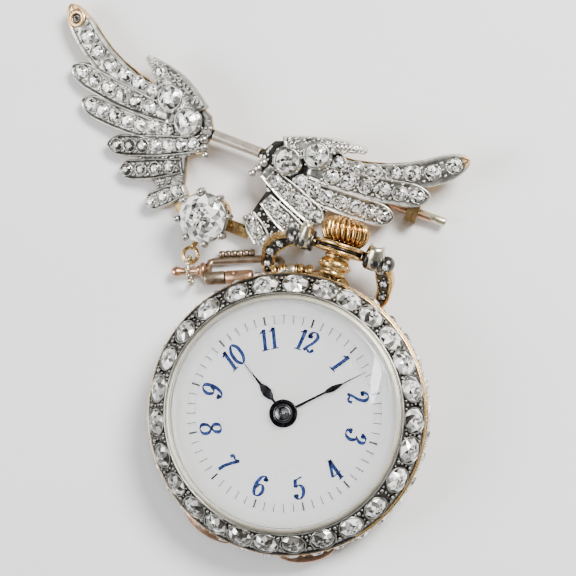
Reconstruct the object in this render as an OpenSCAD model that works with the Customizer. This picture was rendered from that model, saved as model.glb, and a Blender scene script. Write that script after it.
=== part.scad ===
// Winged brooch with a small open-faced watch hung from it by a swivel hook.
// The piece lies face up. Lengths are in millimetres and angles in degrees.
// Shapes are drawn round the dial's centre: +Y to twelve o'clock, +Z out of the dial, z = 0 on the table.

/* [Watch case] */
// Outer radius of the gold middle band
case_r = 12.45; // [12:0.05:13.2]
// Thickness of the middle band's wall
case_wall = 1.15; // [0.8:0.05:1.5]
// Radius of the flat on the case back
back_flat_r = 6; // [4:0.1:8]
// Height of the case back
back_h = 2.55; // [2.3:0.05:2.9]
// Thickness of the case back
back_wall = 0.5; // [0.3:0.05:0.7]
// Height of the middle band
band_h = 2.1; // [1.9:0.05:2.4]
// Radius of the two thumb pieces on the case back's rim
thumb_r = 13.55; // [13.3:0.05:13.7]
// Height of the lip that shows as a gold line
lip_h = 0.25; // [0.2:0.05:0.4]
// Thickness of the silver setting round the band
setting_t = 0.6; // [0.45:0.05:0.8]
// Diameter of a stone in the side row
side_stone_d = 1.65; // [1.4:0.05:1.75]
// Places in the side row
side_places = 36; // [30:1:38]
// Places left empty under the pendant
side_gap = 3; // [3:1:5]

/* [Bezel and glass] */
// Width of the silver bezel
bezel_w = 2.0; // [1.9:0.05:2.1]
// Distance by which the bezel stands out past the middle band
bezel_over = 0.5; // [0.4:0.05:0.6]
// Height of the bezel at its inner edge
bezel_h = 2.15; // [2:0.05:2.3]
// Height of the bezel at its outer edge
bezel_edge_h = 0.35; // [0.25:0.05:0.5]
// Stones in the bezel
bezel_count = 27; // [22:1:28]
// Angle of the first bezel stone from twelve o'clock
bezel_turn = -3.5; // [-6:0.1:6]
// Largest diameter of a bezel stone, as a share of the bezel's width
bezel_stone_share = 1.1; // [0.95:0.01:1.12]
// Depth of a bezel stone's seat
bezel_seat = 0.8; // [0.6:0.05:0.9]
// Width of the gold rim inside the bezel
rim_w = 0.8; // [0.6:0.05:1]
// Height of the gold rim
rim_h = 0.95; // [0.85:0.05:1.2]
// Thickness of the glass
glass_t = 0.55; // [0.4:0.05:0.7]
// Height of the glass above the rim
glass_rise = 0.75; // [0.5:0.05:1]

/* [Dial and hands] */
// Height of the dial's face above the middle band
dial_rise = 1.5; // [1.4:0.05:1.6]
// Thickness of the enamel dial
dial_t = 0.5; // [0.4:0.05:0.6]
// Length of the minute hand
minute_l = 8.5; // [7.5:0.1:9]
// Length of the hour hand
hour_l = 5.85; // [5:0.1:6.5]
// Angle of the minute hand from twelve o'clock
minute_at = 45.6; // [0:0.1:360]
// Angle of the hour hand from twelve o'clock
hour_at = 303.4; // [0:0.1:360]
// Thickness of a hand
hand_t = 0.14; // [0.1:0.01:0.18]
// Radius of the hands' hubs
hub_r = 1.3; // [1.15:0.05:1.5]
// Radius of the arbor in the hubs
arbor_r = 0.86; // [0.7:0.02:0.9]

/* [Pendant and crown] */
// Distance from the dial's centre to the bow's pivots
pivot_y = 16; // [15.9:0.05:16.4]
// Height of the pendant's axis
pivot_z = 4; // [3.9:0.05:4.2]
// Radius of the pendant's neck
neck_r = 1.05; // [0.9:0.05:1.3]
// Width of the pendant's foot
foot_w = 3.6; // [3:0.1:4]
// Radius of the cup under the crown
cup_r = 2.4; // [2.2:0.05:2.45]
// Height of the cup
cup_h = 1.0; // [0.9:0.05:1.2]
// Radius of the crown
crown_r = 2.3; // [2.1:0.05:2.35]
// Height of the crown
crown_h = 2.8; // [2.4:0.05:2.9]
// Ribs round the crown
crown_ribs = 24; // [18:1:30]
// Radius of the winding stem
stem_r = 0.4; // [0.3:0.02:0.45]
// Radius of the pivot pins
pin_r = 0.4; // [0.3:0.02:0.45]

/* [Bow] */
// Half the width of the bow along its middle line
bow_half = 5.75; // [5.6:0.05:5.9]
// Distance by which the bow's arms are bent to its left
bow_lean = 0.8; // [0.75:0.05:0.85]
// Distance from the pivots to the middle of the bow's far end
bow_l = 5.3; // [5.1:0.05:5.35]
// Width of the bow's arms
bow_w = 1.7; // [1.4:0.05:1.7]
// Width of the bow's far end
bow_end_w = 0.8; // [0.7:0.02:0.84]
// Thickness of the bow's band
bow_t = 0.66; // [0.6:0.02:0.68]
// Angle at which the folded bow slopes to the table
bow_fold = 39.5; // [38.5:0.25:39.75]
// Radius of the bow's heads
head_r = 1.0; // [0.85:0.05:1.05]
// Length of a head along the pivots
head_l = 1.65; // [1.4:0.05:1.8]
// Length of the peaked cap beyond the pivots
cap_l = 1.95; // [1.6:0.05:2.1]
// Radius of the ball beside a head
ball_r = 0.85; // [0.7:0.05:0.9]
// Diameter of a stone on the bow
bow_stone_d = 0.94; // [0.8:0.02:0.96]

/* [Swivel] */
// Length from the end ball to the far turn of the hook
hook_l = 9.25; // [9.1:0.05:9.3]
// Angle of the hook across the table
hook_at = 20.5; // [19.8:0.1:21.2]
// Half the distance between the hook's two sides
hook_half = 1.0; // [0.95:0.01:1.05]
// Radius of the hook's wire
hook_wire = 0.36; // [0.32:0.01:0.37]
// Radius of the hinged tongue
tongue_r = 0.66; // [0.55:0.01:0.68]
// Tilt of the hook's loop about its own axis
hook_tilt = 31.5; // [29:0.5:31.5]
// Radius of the ball that ends the shank
swivel_ball_r = 0.55; // [0.5:0.02:0.6]
// Radius of the shank that turns in the ring
shank_r = 0.35; // [0.3:0.01:0.4]
// Middle radius of the ring
ring_r = 1.3; // [1.25:0.01:1.32]
// Radius of the wire of the ring and of the eye
ring_wire = 0.2; // [0.16:0.01:0.22]

/* [Brooch] */
// Reach of a wing from the brooch's middle
wing_span = 21.3; // [20:0.1:22]
// Height of a wing's tip above the centre stone
wing_rise = 13.9; // [13:0.1:14.5]
// Share of the full reach that the left wing has
left_share = 0.98; // [0.92:0.01:1]
// Angle by which the left wing is raised in its own plane
left_raise = 1.5; // [1:0.1:2]
// Width of the broadest feather
feather_w = 2.6; // [2.3:0.05:2.65]
// Thickness of the silver front of a feather
silver_t = 0.6; // [0.5:0.05:0.7]
// Thickness of the gold back
gold_t = 0.3; // [0.2:0.05:0.4]
// Height by which each feather lies over the next
feather_step = 0.05; // [0.03:0.01:0.08]
// Distance of the shoulders from the middle
shoulder_x = 2.5; // [2.3:0.05:2.8]
// Diameter of a wing's two large stones
large_stone_d = 2.2; // [2:0.05:2.3]
// Depth of a stone's seat in the silver
seat_h = 0.45; // [0.35:0.05:0.5]
// Width of the bar between the wings
bar_w = 0.9; // [0.8:0.05:1.1]
// Turn of the brooch against the watch
brooch_turn = 4; // [3:0.1:5]
// Angle at which the brooch's upper edge is raised
brooch_pitch = 12; // [11.5:0.1:12.5]
// Angle at which the brooch leans to its left
brooch_roll = 3; // [2.8:0.1:3.2]
// Angle at which each wing is bent back
wing_bend = 6; // [5.7:0.1:6.2]

/* [Centre stone] */
// Diameter of the centre stone
sol_d = 4.7; // [4.4:0.05:4.8]
// Depth of the centre stone below its girdle
sol_depth = 2.0; // [1.7:0.05:2.1]
// Height of the collet under the girdle
collet_h = 2.7; // [2.5:0.05:2.8]
// Thickness of the collet's wall
collet_wall = 0.35; // [0.25:0.05:0.45]
// Claws round the centre stone
claws = 8; // [6:1:10]
// Radius of a claw
claw_r = 0.3; // [0.24:0.01:0.34]

/* [Brooch pin] */
// Radius of the pin stem
stem_pin_r = 0.38; // [0.3:0.01:0.4]
// Length of the pin stem past its catch
stem_past = 3.2; // [2.6:0.1:3.8]
// Angle at which the pin stem leaves the brooch's plane
stem_pin_dip = 4.1; // [4:0.05:4.3]
// Radius of the hinge knuckles
knuckle_r = 0.65; // [0.6:0.01:0.7]
// Radius of the rivet in the hinge
rivet_r = 0.25; // [0.2:0.01:0.3]

/* [Hidden] */

$fn = 64;

// Space left between pieces that are set, snapped or soldered together
gap = 0.03;
// Running clearance of a shaft in its hole
run = 0.05;
// Small overlap that joins shapes of one solid
weld = 0.1;
gold = [0.83, 0.66, 0.38];
rose = [0.85, 0.6, 0.45];
silver = [0.72, 0.72, 0.7];
dark_silver = [0.3, 0.29, 0.27];
diamond = [0.9, 0.92, 0.95];

// Place of the brooch's middle, and the height of its gold back there
sol_at = [-13, 15.25];
sol_z = 1.42;
// Place of the swivel's end ball
swivel_at = [-14.75, 9.4, 1.1];
// Corners of the space that all the pieces fill, seen from above
reach_low = [-32.619, -13.443];
reach_high = [13.443, 30.939];

bezel_out_r = case_r + bezel_over;
bezel_in_r = bezel_out_r - bezel_w;
bezel_stone_d = bezel_w * bezel_stone_share;
band_z = back_h + gap;
band_top = band_z + band_h;
dial_top = band_top + dial_rise;
dial_z = dial_top - dial_t;
rim_in_r = bezel_in_r - gap - rim_w;
rim_z = dial_top + gap;
rim_top = rim_z + rim_h;
setting_r = case_r + gap + setting_t;
side_z = band_z + (band_h - lip_h) / 2;

module case_place() {
  translate([-(reach_low[0] + reach_high[0]) / 2, -(reach_low[1] + reach_high[1]) / 2, 0]) children();
}

// Points of a quadratic curve, and its direction
function bend(p, t) = p[0] * (1 - t) ^ 2 + 2 * p[1] * t * (1 - t) + p[2] * t ^ 2;
function slope(p, t) = 2 * (p[1] - p[0]) * (1 - t) + 2 * (p[2] - p[1]) * t;
function unit(v) = v / norm(v);
function left_of(v) = [-v[1], v[0]];

// A cut stone standing on its girdle plane: table, sixteen crown facets and a pointed back
table_share = 0.55;
module cut_stone(d, crown, depth, sides = 8) {
  step = 360 / sides;
  table = [for (i = [0:sides - 1]) [cos(step * (i + 0.5)), sin(step * (i + 0.5)), 0] * d * table_share / 2
    + [0, 0, crown]];
  girdle = [for (i = [0:sides - 1]) [cos(step * i), sin(step * i), 0] * d / 2];
  function next(i) = (i + 1) % sides;
  faces = concat(
    [[for (i = [sides - 1:-1:0]) i]],
    [for (i = [0:sides - 1]) [i, sides + next(i), sides + i]],
    [for (i = [0:sides - 1]) [i, next(i), sides + next(i)]],
    [for (i = [0:sides - 1]) [sides + i, sides + next(i), 2 * sides]]
  );
  polyhedron(concat(table, girdle, [[0, 0, -depth]]), faces);
}

// Crown and back of the small stones as shares of the diameter
crown_share = 0.22;
back_share = 0.2;
module small_stone(d) {
  cut_stone(d, d * crown_share, d * back_share);
}

// Seat of a small stone, open above the surface it is cut in
module seat(d, h) {
  translate([0, 0, -h]) cylinder(h = h + 2, r = d / 2 + gap);
}

// Watch case

back_rim_r = case_r + 0.2;
rim_edge_h = 0.35;
dome_steps = 7;
function dome(i, r0, r1, z0, z1) =
  [r0 + (r1 - r0) * sin(90 * i / dome_steps), z0 + (z1 - z0) * (1 - cos(90 * i / dome_steps)) ];

module case_back() {
  outer = [for (i = [0:dome_steps]) dome(i, back_flat_r, back_rim_r, 0, back_h - rim_edge_h)];
  inner = [for (i = [dome_steps:-1:0])
    dome(i, back_flat_r, back_rim_r - back_wall, back_wall, back_h - rim_edge_h + back_wall / 2)];
  color(rose) {
    rotate_extrude() polygon(concat([[0, 0]], outer,
      [[back_rim_r, back_h], [back_rim_r - back_wall, back_h]], inner, [[0, back_wall]]));
    for (span = thumb_spans) thumb_piece(span[0], span[1], thumb_r);
    thumb_piece(hinge_span[0], hinge_span[1], hinge_out_r);
  }
}

// The two crescents that a thumbnail opens the back with, between two angles from twelve o'clock
thumb_spans = [[146, 163], [190, 208]];
// The case back's hinge beside the pendant
hinge_span = [-24, -8];
hinge_out_r = 13.9;
module thumb_piece(from, to, out_r) {
  low = back_h - rim_edge_h;
  inside = back_rim_r - 2 * weld;
  rotate([0, 0, 90 - to]) rotate_extrude(angle = to - from) polygon([
    [inside, low], [out_r - 0.15, low + 0.05], [out_r, low + 0.15],
    [out_r - 0.1, back_h - 0.05], [inside, back_h - 0.05]
  ]);
}

module case_middle() {
  color(gold) difference() {
    union() {
      translate([0, 0, band_z]) cylinder(h = band_h, r = case_r);
      translate([0, 0, band_top - lip_h]) cylinder(h = lip_h, r = setting_r);
    }
    translate([0, 0, band_z - 1]) cylinder(h = band_h + 2, r = case_r - case_wall);
    pendant_socket();
  }
}

// Flat place cut in the band for the pendant's foot, and the hole of the winding stem
foot_y = case_r - 0.35;
module pendant_socket() {
  translate([-foot_w / 2 - gap, foot_y, band_z - 1])
    cube([foot_w + 2 * gap, 5, band_h - lip_h + 1 - gap]);
  translate([0, case_r - case_wall - 1, pivot_z]) rotate([-90, 0, 0]) cylinder(h = 5, r = stem_r + run);
}

module each_side_place() {
  for (i = [0:side_places - 1])
    if (min(i, side_places - i) > side_gap / 2)
      rotate([0, 0, -i * 360 / side_places])
        translate([0, setting_r, side_z]) rotate([-90, 0, 0]) children();
}

module side_setting() {
  color(dark_silver) difference() {
    translate([0, 0, band_z]) cylinder(h = band_h - lip_h - gap, r = setting_r);
    translate([0, 0, band_z - 1]) cylinder(h = band_h + 2, r = case_r + gap);
    translate([-foot_w / 2 - gap, 0, band_z - 1]) cube([foot_w + 2 * gap, 20, band_h + 2]);
    each_side_place() translate([0, 0, -setting_t - 0.3]) cylinder(h = 3, r = side_stone_d / 2 + gap);
  }
}

module side_stones() {
  color(diamond) each_side_place() small_stone(side_stone_d);
}

// Bezel

bezel_z = band_top + gap;
bezel_angle = atan((bezel_h - bezel_edge_h) / (bezel_out_r - bezel_in_r));
// A bezel stone's own diameter: the stones are not all alike
function bezel_d(i) = bezel_stone_d * (0.96 + 0.04 * sin(i * 137));

module each_bezel_place(i) {
  rotate([0, 0, -bezel_turn - i * 360 / bezel_count])
    translate([0, (bezel_in_r + bezel_out_r) / 2, bezel_z + (bezel_h + bezel_edge_h) / 2])
      rotate([-bezel_angle, 0, 0]) children();
}

module bezel() {
  color(dark_silver) difference() {
    rotate_extrude() polygon([
      [bezel_in_r, bezel_z], [bezel_out_r, bezel_z], [bezel_out_r, bezel_z + bezel_edge_h],
      [bezel_in_r, bezel_z + bezel_h]
    ]);
    for (i = [0:bezel_count - 1]) each_bezel_place(i) seat(bezel_d(i), bezel_seat);
  }
}

module bezel_stones() {
  color(diamond) for (i = [0:bezel_count - 1]) each_bezel_place(i) small_stone(bezel_d(i));
}

module bezel_rim() {
  inner_w = rim_w * 0.45;
  color(gold) rotate_extrude() polygon([
    [rim_in_r, rim_z], [rim_in_r + rim_w, rim_z], [rim_in_r + rim_w, rim_top - 0.1],
    [rim_in_r + inner_w, rim_top - 0.1], [rim_in_r + inner_w, rim_top], [rim_in_r, rim_top]
  ]);
}

// Domed glass with a bevelled edge, seated inside the rim
module crystal() {
  r = rim_in_r - gap;
  bevel_r = r - 1.2;
  z0 = rim_top - 0.75;
  flat_z = rim_top + glass_rise * 0.7;
  top_z = rim_top + glass_rise;
  color("aliceblue", 0.4) rotate_extrude() polygon([
    [0, top_z - glass_t], [bevel_r * 0.6, top_z - glass_t - 0.05], [bevel_r - 0.2, flat_z - glass_t],
    [r - glass_t, rim_top - glass_t * 0.4], [r - glass_t, z0], [r, z0], [r, rim_top],
    [bevel_r, flat_z], [bevel_r * 0.6, top_z - 0.05], [0, top_z]
  ]);
}

// Dial, movement and hands

dial_hole_r = arbor_r + 0.14;
module dial() {
  color("white") translate([0, 0, dial_z]) difference() {
    cylinder(h = dial_t, r = bezel_in_r - gap);
    translate([0, 0, -1]) cylinder(h = dial_t + 2, r = dial_hole_r);
  }
}

// Plain closed drum that stands for the works and carries the dial
module movement() {
  works_r = case_r - case_wall - gap;
  low_r = back_flat_r + 1.5;
  color("silver") difference() {
    rotate_extrude() polygon([
      [0, back_wall + gap], [back_flat_r, back_wall + gap], [low_r + 2, back_wall + 0.75],
      [works_r, back_h], [works_r, band_top - 0.5], [bezel_in_r - gap, band_top - 0.5],
      [bezel_in_r - gap, dial_z - gap], [0, dial_z - gap]
    ]);
    translate([0, case_r - case_wall - 2, pivot_z]) rotate([-90, 0, 0]) cylinder(h = 5, r = stem_r + run);
    translate([0, 0, dial_z - 1.5]) cylinder(h = 5, r = arbor_r + run);
  }
}

arbor_z = dial_z - 1.4;
hour_z = dial_top + 0.15;
minute_z = hour_z + hand_t + 0.12;
arbor_top = minute_z + hand_t + 0.08;

module centre_arbor() {
  color("gray") {
    translate([0, 0, arbor_z]) cylinder(h = arbor_top - arbor_z, r = arbor_r);
    translate([0, 0, arbor_top - weld]) cylinder(h = weld + 0.08, r = arbor_r / 3);
  }
}

module hub(bore) {
  difference() {
    circle(r = hub_r);
    circle(r = bore);
  }
}

// Leaf of a hand: half widths along its length, in shares of the length and of the leaf's width
minute_leaf = [[0, 0.62], [0.5, 0.55], [0.56, 0.95], [0.6, 1], [0.66, 0.8], [0.74, 0.3], [1, 0.1]];
hour_leaf = [[0, 0.42], [0.32, 0.36], [0.38, 0.75], [0.46, 1], [0.55, 0.85], [0.66, 0.4], [0.8, 0.18],
  [1, 0.1]];
minute_leaf_w = 0.56;
hour_leaf_w = 0.95;

module hand(leaf, l, w, bore) {
  right = [for (s = leaf) [s[1] * w / 2, max(s[0] * l, hub_r - weld)]];
  left = [for (i = [len(leaf) - 1:-1:0]) [-leaf[i][1] * w / 2, max(leaf[i][0] * l, hub_r - weld)]];
  linear_extrude(hand_t) {
    hub(bore);
    polygon(concat(right, left));
  }
}

module minute_hand() {
  color("black") translate([0, 0, minute_z]) rotate([0, 0, -minute_at])
    hand(minute_leaf, minute_l, minute_leaf_w, arbor_r + 0.02);
}

module hour_hand() {
  color("black") translate([0, 0, hour_z]) rotate([0, 0, -hour_at])
    hand(hour_leaf, hour_l, hour_leaf_w, arbor_r + 0.08);
}

// Pendant and crown, drawn along the pendant's axis

module on_pendant(y = 0) {
  translate([0, y, pivot_z]) rotate([-90, 0, 0]) children();
}

cup_y = pivot_y - cup_h / 2;
foot_l = 1.3;
neck_y = setting_r + run;
module pendant() {
  foot_h = band_h - lip_h - 2 * gap;
  color(gold) difference() {
    union() {
      translate([-foot_w / 2, foot_y + gap, band_z]) cube([foot_w, foot_l, foot_h]);
      on_pendant(neck_y) cylinder(h = cup_y - neck_y + weld, r = neck_r);
      on_pendant((foot_y + foot_l + cup_y) / 2 + 0.1) sphere(r = neck_r + 0.4);
      on_pendant(cup_y) cylinder(h = cup_h, r = cup_r);
      translate([-bow_pin_x, pivot_y, pivot_z]) rotate([0, 90, 0]) cylinder(h = 2 * bow_pin_x, r = pin_r);
    }
    on_pendant(foot_y - 1) cylinder(h = 10, r = stem_r + run);
    on_pendant(cup_y + cup_h - 0.25) cylinder(h = 2, r = cup_r - 0.3);
  }
}

crown_y = pivot_y + cup_h / 2 - 0.25 + run;
crown_low_r = cup_r - 0.3 - run;
crown_profile = [
  [0.92, 0], [0.92, 0.2], [1, 0.3], [1, 0.52], [0.93, 0.72], [0.78, 0.87], [0.5, 0.97], [0, 1]
];
module crown() {
  edge = [for (p = crown_profile) [min(p[0] * crown_r, p[1] < 0.1 ? crown_low_r : crown_r), p[1] * crown_h]];
  color(gold) on_pendant(crown_y) {
    difference() {
      rotate_extrude() polygon(concat([[0, 0]], edge));
      for (i = [0:crown_ribs - 1]) rotate([0, 0, (i + 0.5) * 360 / crown_ribs])
        translate([crown_r + 0.05, 0, crown_h * 0.26]) cylinder(h = crown_h, r = 0.16, $fn = 6);
    }
    translate([0, 0, -(crown_y - case_r + case_wall + 1)])
      cylinder(h = crown_y - case_r + case_wall + 1 + weld, r = stem_r);
  }
}

// Bow, drawn in its own plane with y from the pivots to the far end

head_x = cup_r + 0.15;
bow_pin_x = head_x + head_l - 0.35;
bow_steps = 6;
function bow_reach(side) = bow_half - side * bow_lean;
function bow_arm(side) = let (x = bow_reach(side))
  [[head_x + head_l / 2, 0], [x, 0.15 * bow_l], [x, 0.55 * bow_l]];
function bow_corner(side) = let (x = bow_reach(side))
  [[x, 0.72 * bow_l], [x, bow_l], [0.72 * bow_half, bow_l]];
function along_bow(side, t) = t < 1 ? bend(bow_arm(side), t) : bend(bow_corner(side), t - 1);
function across_bow(side, t) =
  left_of(unit(t < 1 ? slope(bow_arm(side), t) : slope(bow_corner(side), t - 1)));
// Half width of the band: narrow at the heads, broad along the arms and narrow again at the far end
function bow_half_w(t) = bow_end_w / 2
  + (bow_w - bow_end_w) / 2 * min(1, t / 0.5, max(0, (1.3 - t) / 0.5));
bow_shares = [for (i = [0:2 * bow_steps]) i / bow_steps];

module in_bow_plane() {
  translate([0, pivot_y, pivot_z]) rotate([bow_fold, 0, 0]) rotate([0, 0, 180]) children();
}

module bow_outline(side) {
  outer = [for (t = bow_shares) along_bow(side, t) - across_bow(side, t) * bow_half_w(t)];
  inner = [for (i = [len(bow_shares) - 1:-1:0])
    along_bow(side, bow_shares[i]) + across_bow(side, bow_shares[i]) * bow_half_w(bow_shares[i])];
  polygon(concat(outer, [[-weld, bow_l + bow_end_w / 2], [-weld, bow_l - bow_end_w / 2]], inner));
}

module bow_cap() {
  polygon([
    [head_x, 0.2], [head_x, -0.9 * cap_l * 0.5], [head_x + head_l * 0.3, -cap_l * 0.93],
    [head_x + head_l * 0.5, -cap_l], [head_x + head_l * 0.75, -cap_l * 0.9],
    [head_x + head_l, -0.5 * cap_l], [head_x + head_l, 0.2]
  ]);
}

module bow_half_shape(side) {
  difference() {
    union() {
      translate([0, 0, -bow_t / 2]) linear_extrude(bow_t) bow_outline(side);
      translate([0, 0, -bow_t / 2]) linear_extrude(bow_t + 0.15) bow_cap();
      translate([head_x, 0, 0]) rotate([0, 90, 0]) cylinder(h = head_l, r = head_r);
      translate([head_x + head_l + ball_r * 0.6, 0, 0]) sphere(r = ball_r);
    }
    translate([head_x - 1, 0, 0]) rotate([0, 90, 0])
      cylinder(h = bow_pin_x - head_x + 1 + run, r = pin_r + run);
    each_bow_place(side) seat(bow_stone_d, bow_seat_h);
  }
}

// Depth of a stone's seat in the bow, and the places of the stones along an arm and its corner
bow_seat_h = 0.3;
bow_stone_shares = [0.3, 0.58, 0.86, 1.05];
module each_bow_place(side) {
  for (t = bow_stone_shares) translate([along_bow(side, t)[0], along_bow(side, t)[1], bow_t / 2]) children();
}

// The bow's plane is turned half round, so its own +x arm is the left one
module bow() {
  color(dark_silver) in_bow_plane() {
    bow_half_shape(-1);
    mirror([1, 0, 0]) bow_half_shape(1);
  }
}

module bow_stones() {
  color(diamond) in_bow_plane() {
    each_bow_place(-1) small_stone(bow_stone_d);
    mirror([1, 0, 0]) each_bow_place(1) small_stone(bow_stone_d);
  }
}

// Swivel, drawn along x from its end ball; the tongue's side of the loop is at +y

module on_swivel() {
  translate(swivel_at) rotate([0, 0, hook_at]) rotate([180 - hook_tilt, 0, 0]) children();
}

collar_x = 2.35;
loop_x = collar_x + 0.75;
joint_x = 4.85;
tongue_end_x = hook_l - 1.75;

module rod(x0, x1, r) {
  translate([x0, 0, 0]) rotate([0, 90, 0]) cylinder(h = x1 - x0, r = r);
}

module swivel_hook() {
  color(rose) on_swivel() {
    sphere(r = swivel_ball_r);
    rod(0, loop_x, shank_r);
    rod(collar_x, collar_x + 0.5, 0.75);
    translate([loop_x, -hook_half, 0]) rotate([-90, 0, 0]) cylinder(h = 2 * hook_half, r = hook_wire);
    translate([loop_x, -hook_half, 0]) sphere(r = hook_wire);
    translate([0, -hook_half, 0]) rod(loop_x, hook_l, hook_wire);
    translate([0, -hook_half - 1.6 * hook_wire, -0.8 * hook_wire]) rod(loop_x + 1, hook_l - 1.6, hook_wire);
    translate([hook_l, 0, 0]) rotate([0, 0, -90]) rotate_extrude(angle = 180)
      translate([hook_half, 0]) circle(r = hook_wire);
    translate([0, hook_half, 0]) rod(tongue_end_x + gap, hook_l, hook_wire);
    translate([0, hook_half, 0]) rod(loop_x - hook_wire, joint_x - gap, tongue_r);
  }
}

module swivel_tongue() {
  color(rose) on_swivel() translate([0, hook_half, 0]) rod(joint_x, tongue_end_x, tongue_r);
}

ring_x = 1.42;
module swivel_ring() {
  color(gold) translate(swivel_at) rotate([0, 0, hook_at])
    translate([ring_x, 0, ring_r + ring_wire - swivel_at[2] + 0.06]) rotate([0, 90, 0])
      rotate_extrude() translate([ring_r, 0]) circle(r = ring_wire);
}

// Eye under the centre stone's collet, which the ring passes through
eye_r = 0.72;
eye_in = 0.22;
eye_neck_r = 0.26;
ring_top = [swivel_at[0] + ring_x * cos(hook_at) - ring_r * sin(hook_at),
  swivel_at[1] + ring_x * sin(hook_at) + ring_r * cos(hook_at), ring_r + ring_wire + 0.06];
eye_at = ring_top + [0, eye_in, 0];
module eye() {
  translate(eye_at) {
    rotate_extrude() translate([eye_r, 0]) circle(r = ring_wire);
  }
  hull() {
    translate(eye_at + [0, eye_r + ring_wire, 0]) sphere(r = eye_neck_r);
    translate([eye_at[0] * 0.4 + sol_at[0] * 0.6, sol_at[1] - 1.3, 1.05]) sphere(r = eye_neck_r);
  }
}

// Brooch, drawn flat round the centre stone and then leaned

module on_brooch() {
  translate([sol_at[0], sol_at[1], sol_z])
    rotate([brooch_pitch, -brooch_roll, -brooch_turn]) children();
}

module on_wing(side) {
  shoulder_y = bar_y * wing_rise;
  on_brooch() mirror([side < 0 ? 1 : 0, 0, 0]) translate([shoulder_x, shoulder_y, 0])
    rotate([0, wing_bend, side < 0 ? left_raise : 0]) translate([-shoulder_x, -shoulder_y, 0]) children();
}

// Feathers. The columns are root x, root y, middle x, middle y, tip x, tip y, width, stones, the share of the
// length that the right wing keeps, the share that the left wing keeps, and the drop of the left wing's tip.
// x is a share of wing_span, y and the drop are shares of wing_rise and the width is a share of feather_w.
feathers = [
  [0.43, 0.64, 0.72, 0.605, 0.985, 0.975, 1.00, 6, 1.02, 1, 0],
  [0.34, 0.56, 0.62, 0.56, 0.89, 0.665, 0.95, 6, 1, 1, 0.06],
  [0.30, 0.435, 0.54, 0.405, 0.77, 0.45, 0.92, 6, 1, 1.03, 0.04],
  [0.16, 0.455, 0.35, 0.32, 0.565, 0.21, 0.86, 6, 0.8, 1.05, 0],
  [0.205, 0.27, 0.32, 0.17, 0.455, 0.09, 0.80, 4, 1, 1.1, 0],
  [0.155, 0.13, 0.22, 0.04, 0.285, -0.05, 0.72, 3, 0.84, 1.1, 0]
];
web = [
  [0.118, 0.55], [0.16, 0.66], [0.31, 0.75], [0.46, 0.73], [0.56, 0.62], [0.52, 0.42], [0.42, 0.2],
  [0.25, 0.02], [0.15, 0.03], [0.175, 0.2], [0.20, 0.33], [0.14, 0.45]
];
covert = [[0.22, 0.63], [0.42, 0.80], [0.56, 0.81]];
left_covert_tip = [0.53, 0.87];
large_places = [[0.245, 0.57], [0.36, 0.675]];
curl = [[0.145, 0.5], [0.13, 0.45], [0.112, 0.405]];
curl_r = 0.42;

function wing_scale(side) = side < 0 ? left_share : 1;
function at_wing(side, x, y) = [x * wing_span * wing_scale(side), y * wing_rise];
function spine(side, f) = let (drop = side < 0 ? f[10] : 0)
  [at_wing(side, f[0], f[1]), at_wing(side, f[2], f[3] - drop / 2), at_wing(side, f[4], f[5] - drop)];
function kept(side, f) = side < 0 ? f[9] : f[8];
// Half width along a feather: a narrow root, and a round tip in the last fifth
function half_w(f, t) = feather_w * f[6] / 2 * (0.8 + 0.2 * min(1, t / 0.3))
  * (t < 0.8 ? 1 : sqrt(max(0, 1 - ((t - 0.8) / 0.2) ^ 2)));
feather_steps = [0, 0.15, 0.3, 0.45, 0.6, 0.72, 0.8, 0.86, 0.91, 0.95, 0.98, 1];

module feather_outline(side, f) {
  p = spine(side, f);
  k = kept(side, f);
  up = [for (t = feather_steps) bend(p, t * k) + left_of(unit(slope(p, t * k))) * half_w(f, t)];
  down = [for (i = [len(feather_steps) - 2:-1:0]) let (t = feather_steps[i])
    bend(p, t * k) - left_of(unit(slope(p, t * k))) * half_w(f, t)];
  polygon(concat(up, down));
}

function strip(p, w0, w1) = let (n = 6) concat(
  [for (i = [0:n]) bend(p, i / n) + left_of(unit(slope(p, i / n))) * (w0 + (w1 - w0) * i / n) / 2],
  [for (i = [n:-1:0]) bend(p, i / n) - left_of(unit(slope(p, i / n))) * (w0 + (w1 - w0) * i / n) / 2]);

function covert_line(side) = let (tip = side < 0 ? left_covert_tip : covert[2])
  [for (p = [covert[0], covert[1], tip]) at_wing(side, p[0], p[1])];
function feather_top(i) = silver_t + (i + 1) * feather_step;
covert_top = silver_t + 9 * feather_step;
large_top = covert_top + 0.12;

module wing_plate(side, h) {
  for (i = [0:len(feathers) - 1]) linear_extrude(h + (h < silver_t ? 0 : feather_top(i) - silver_t))
    feather_outline(side, feathers[i]);
  linear_extrude(h + (h < silver_t ? 0 : 0.01)) polygon([for (p = web) at_wing(side, p[0], p[1])]);
  linear_extrude(h + (h < silver_t ? 0 : covert_top - silver_t))
    polygon(strip(covert_line(side), feather_w, feather_w * 0.15));
  for (p = large_places) translate(at_wing(side, p[0], p[1]))
    cylinder(h = h + (h < silver_t ? 0 : large_top - silver_t), r = large_stone_d / 2 + 0.35);
}

// Stones along the feathers, each on its own feather's height
function stone_at(side, f, n) = let (k = kept(side, f), c = max(2, round(f[7] * k)))
  bend(spine(side, f), k * (0.2 + 0.7 * n / (c - 1)));
function stone_d(f, n) = feather_w * f[6] * (0.57 + 0.03 * sin(n * 137));
first_stone = [2, 2, 1, 0, 0, 0];

module each_small_place(side) {
  for (i = [0:len(feathers) - 1]) let (f = feathers[i], c = max(2, round(f[7] * kept(side, f))))
    for (n = [first_stone[i]:c - 1]) {
      $stone_d = stone_d(f, n);
      translate([stone_at(side, f, n)[0], stone_at(side, f, n)[1], feather_top(i)]) children();
    }
}

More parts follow.
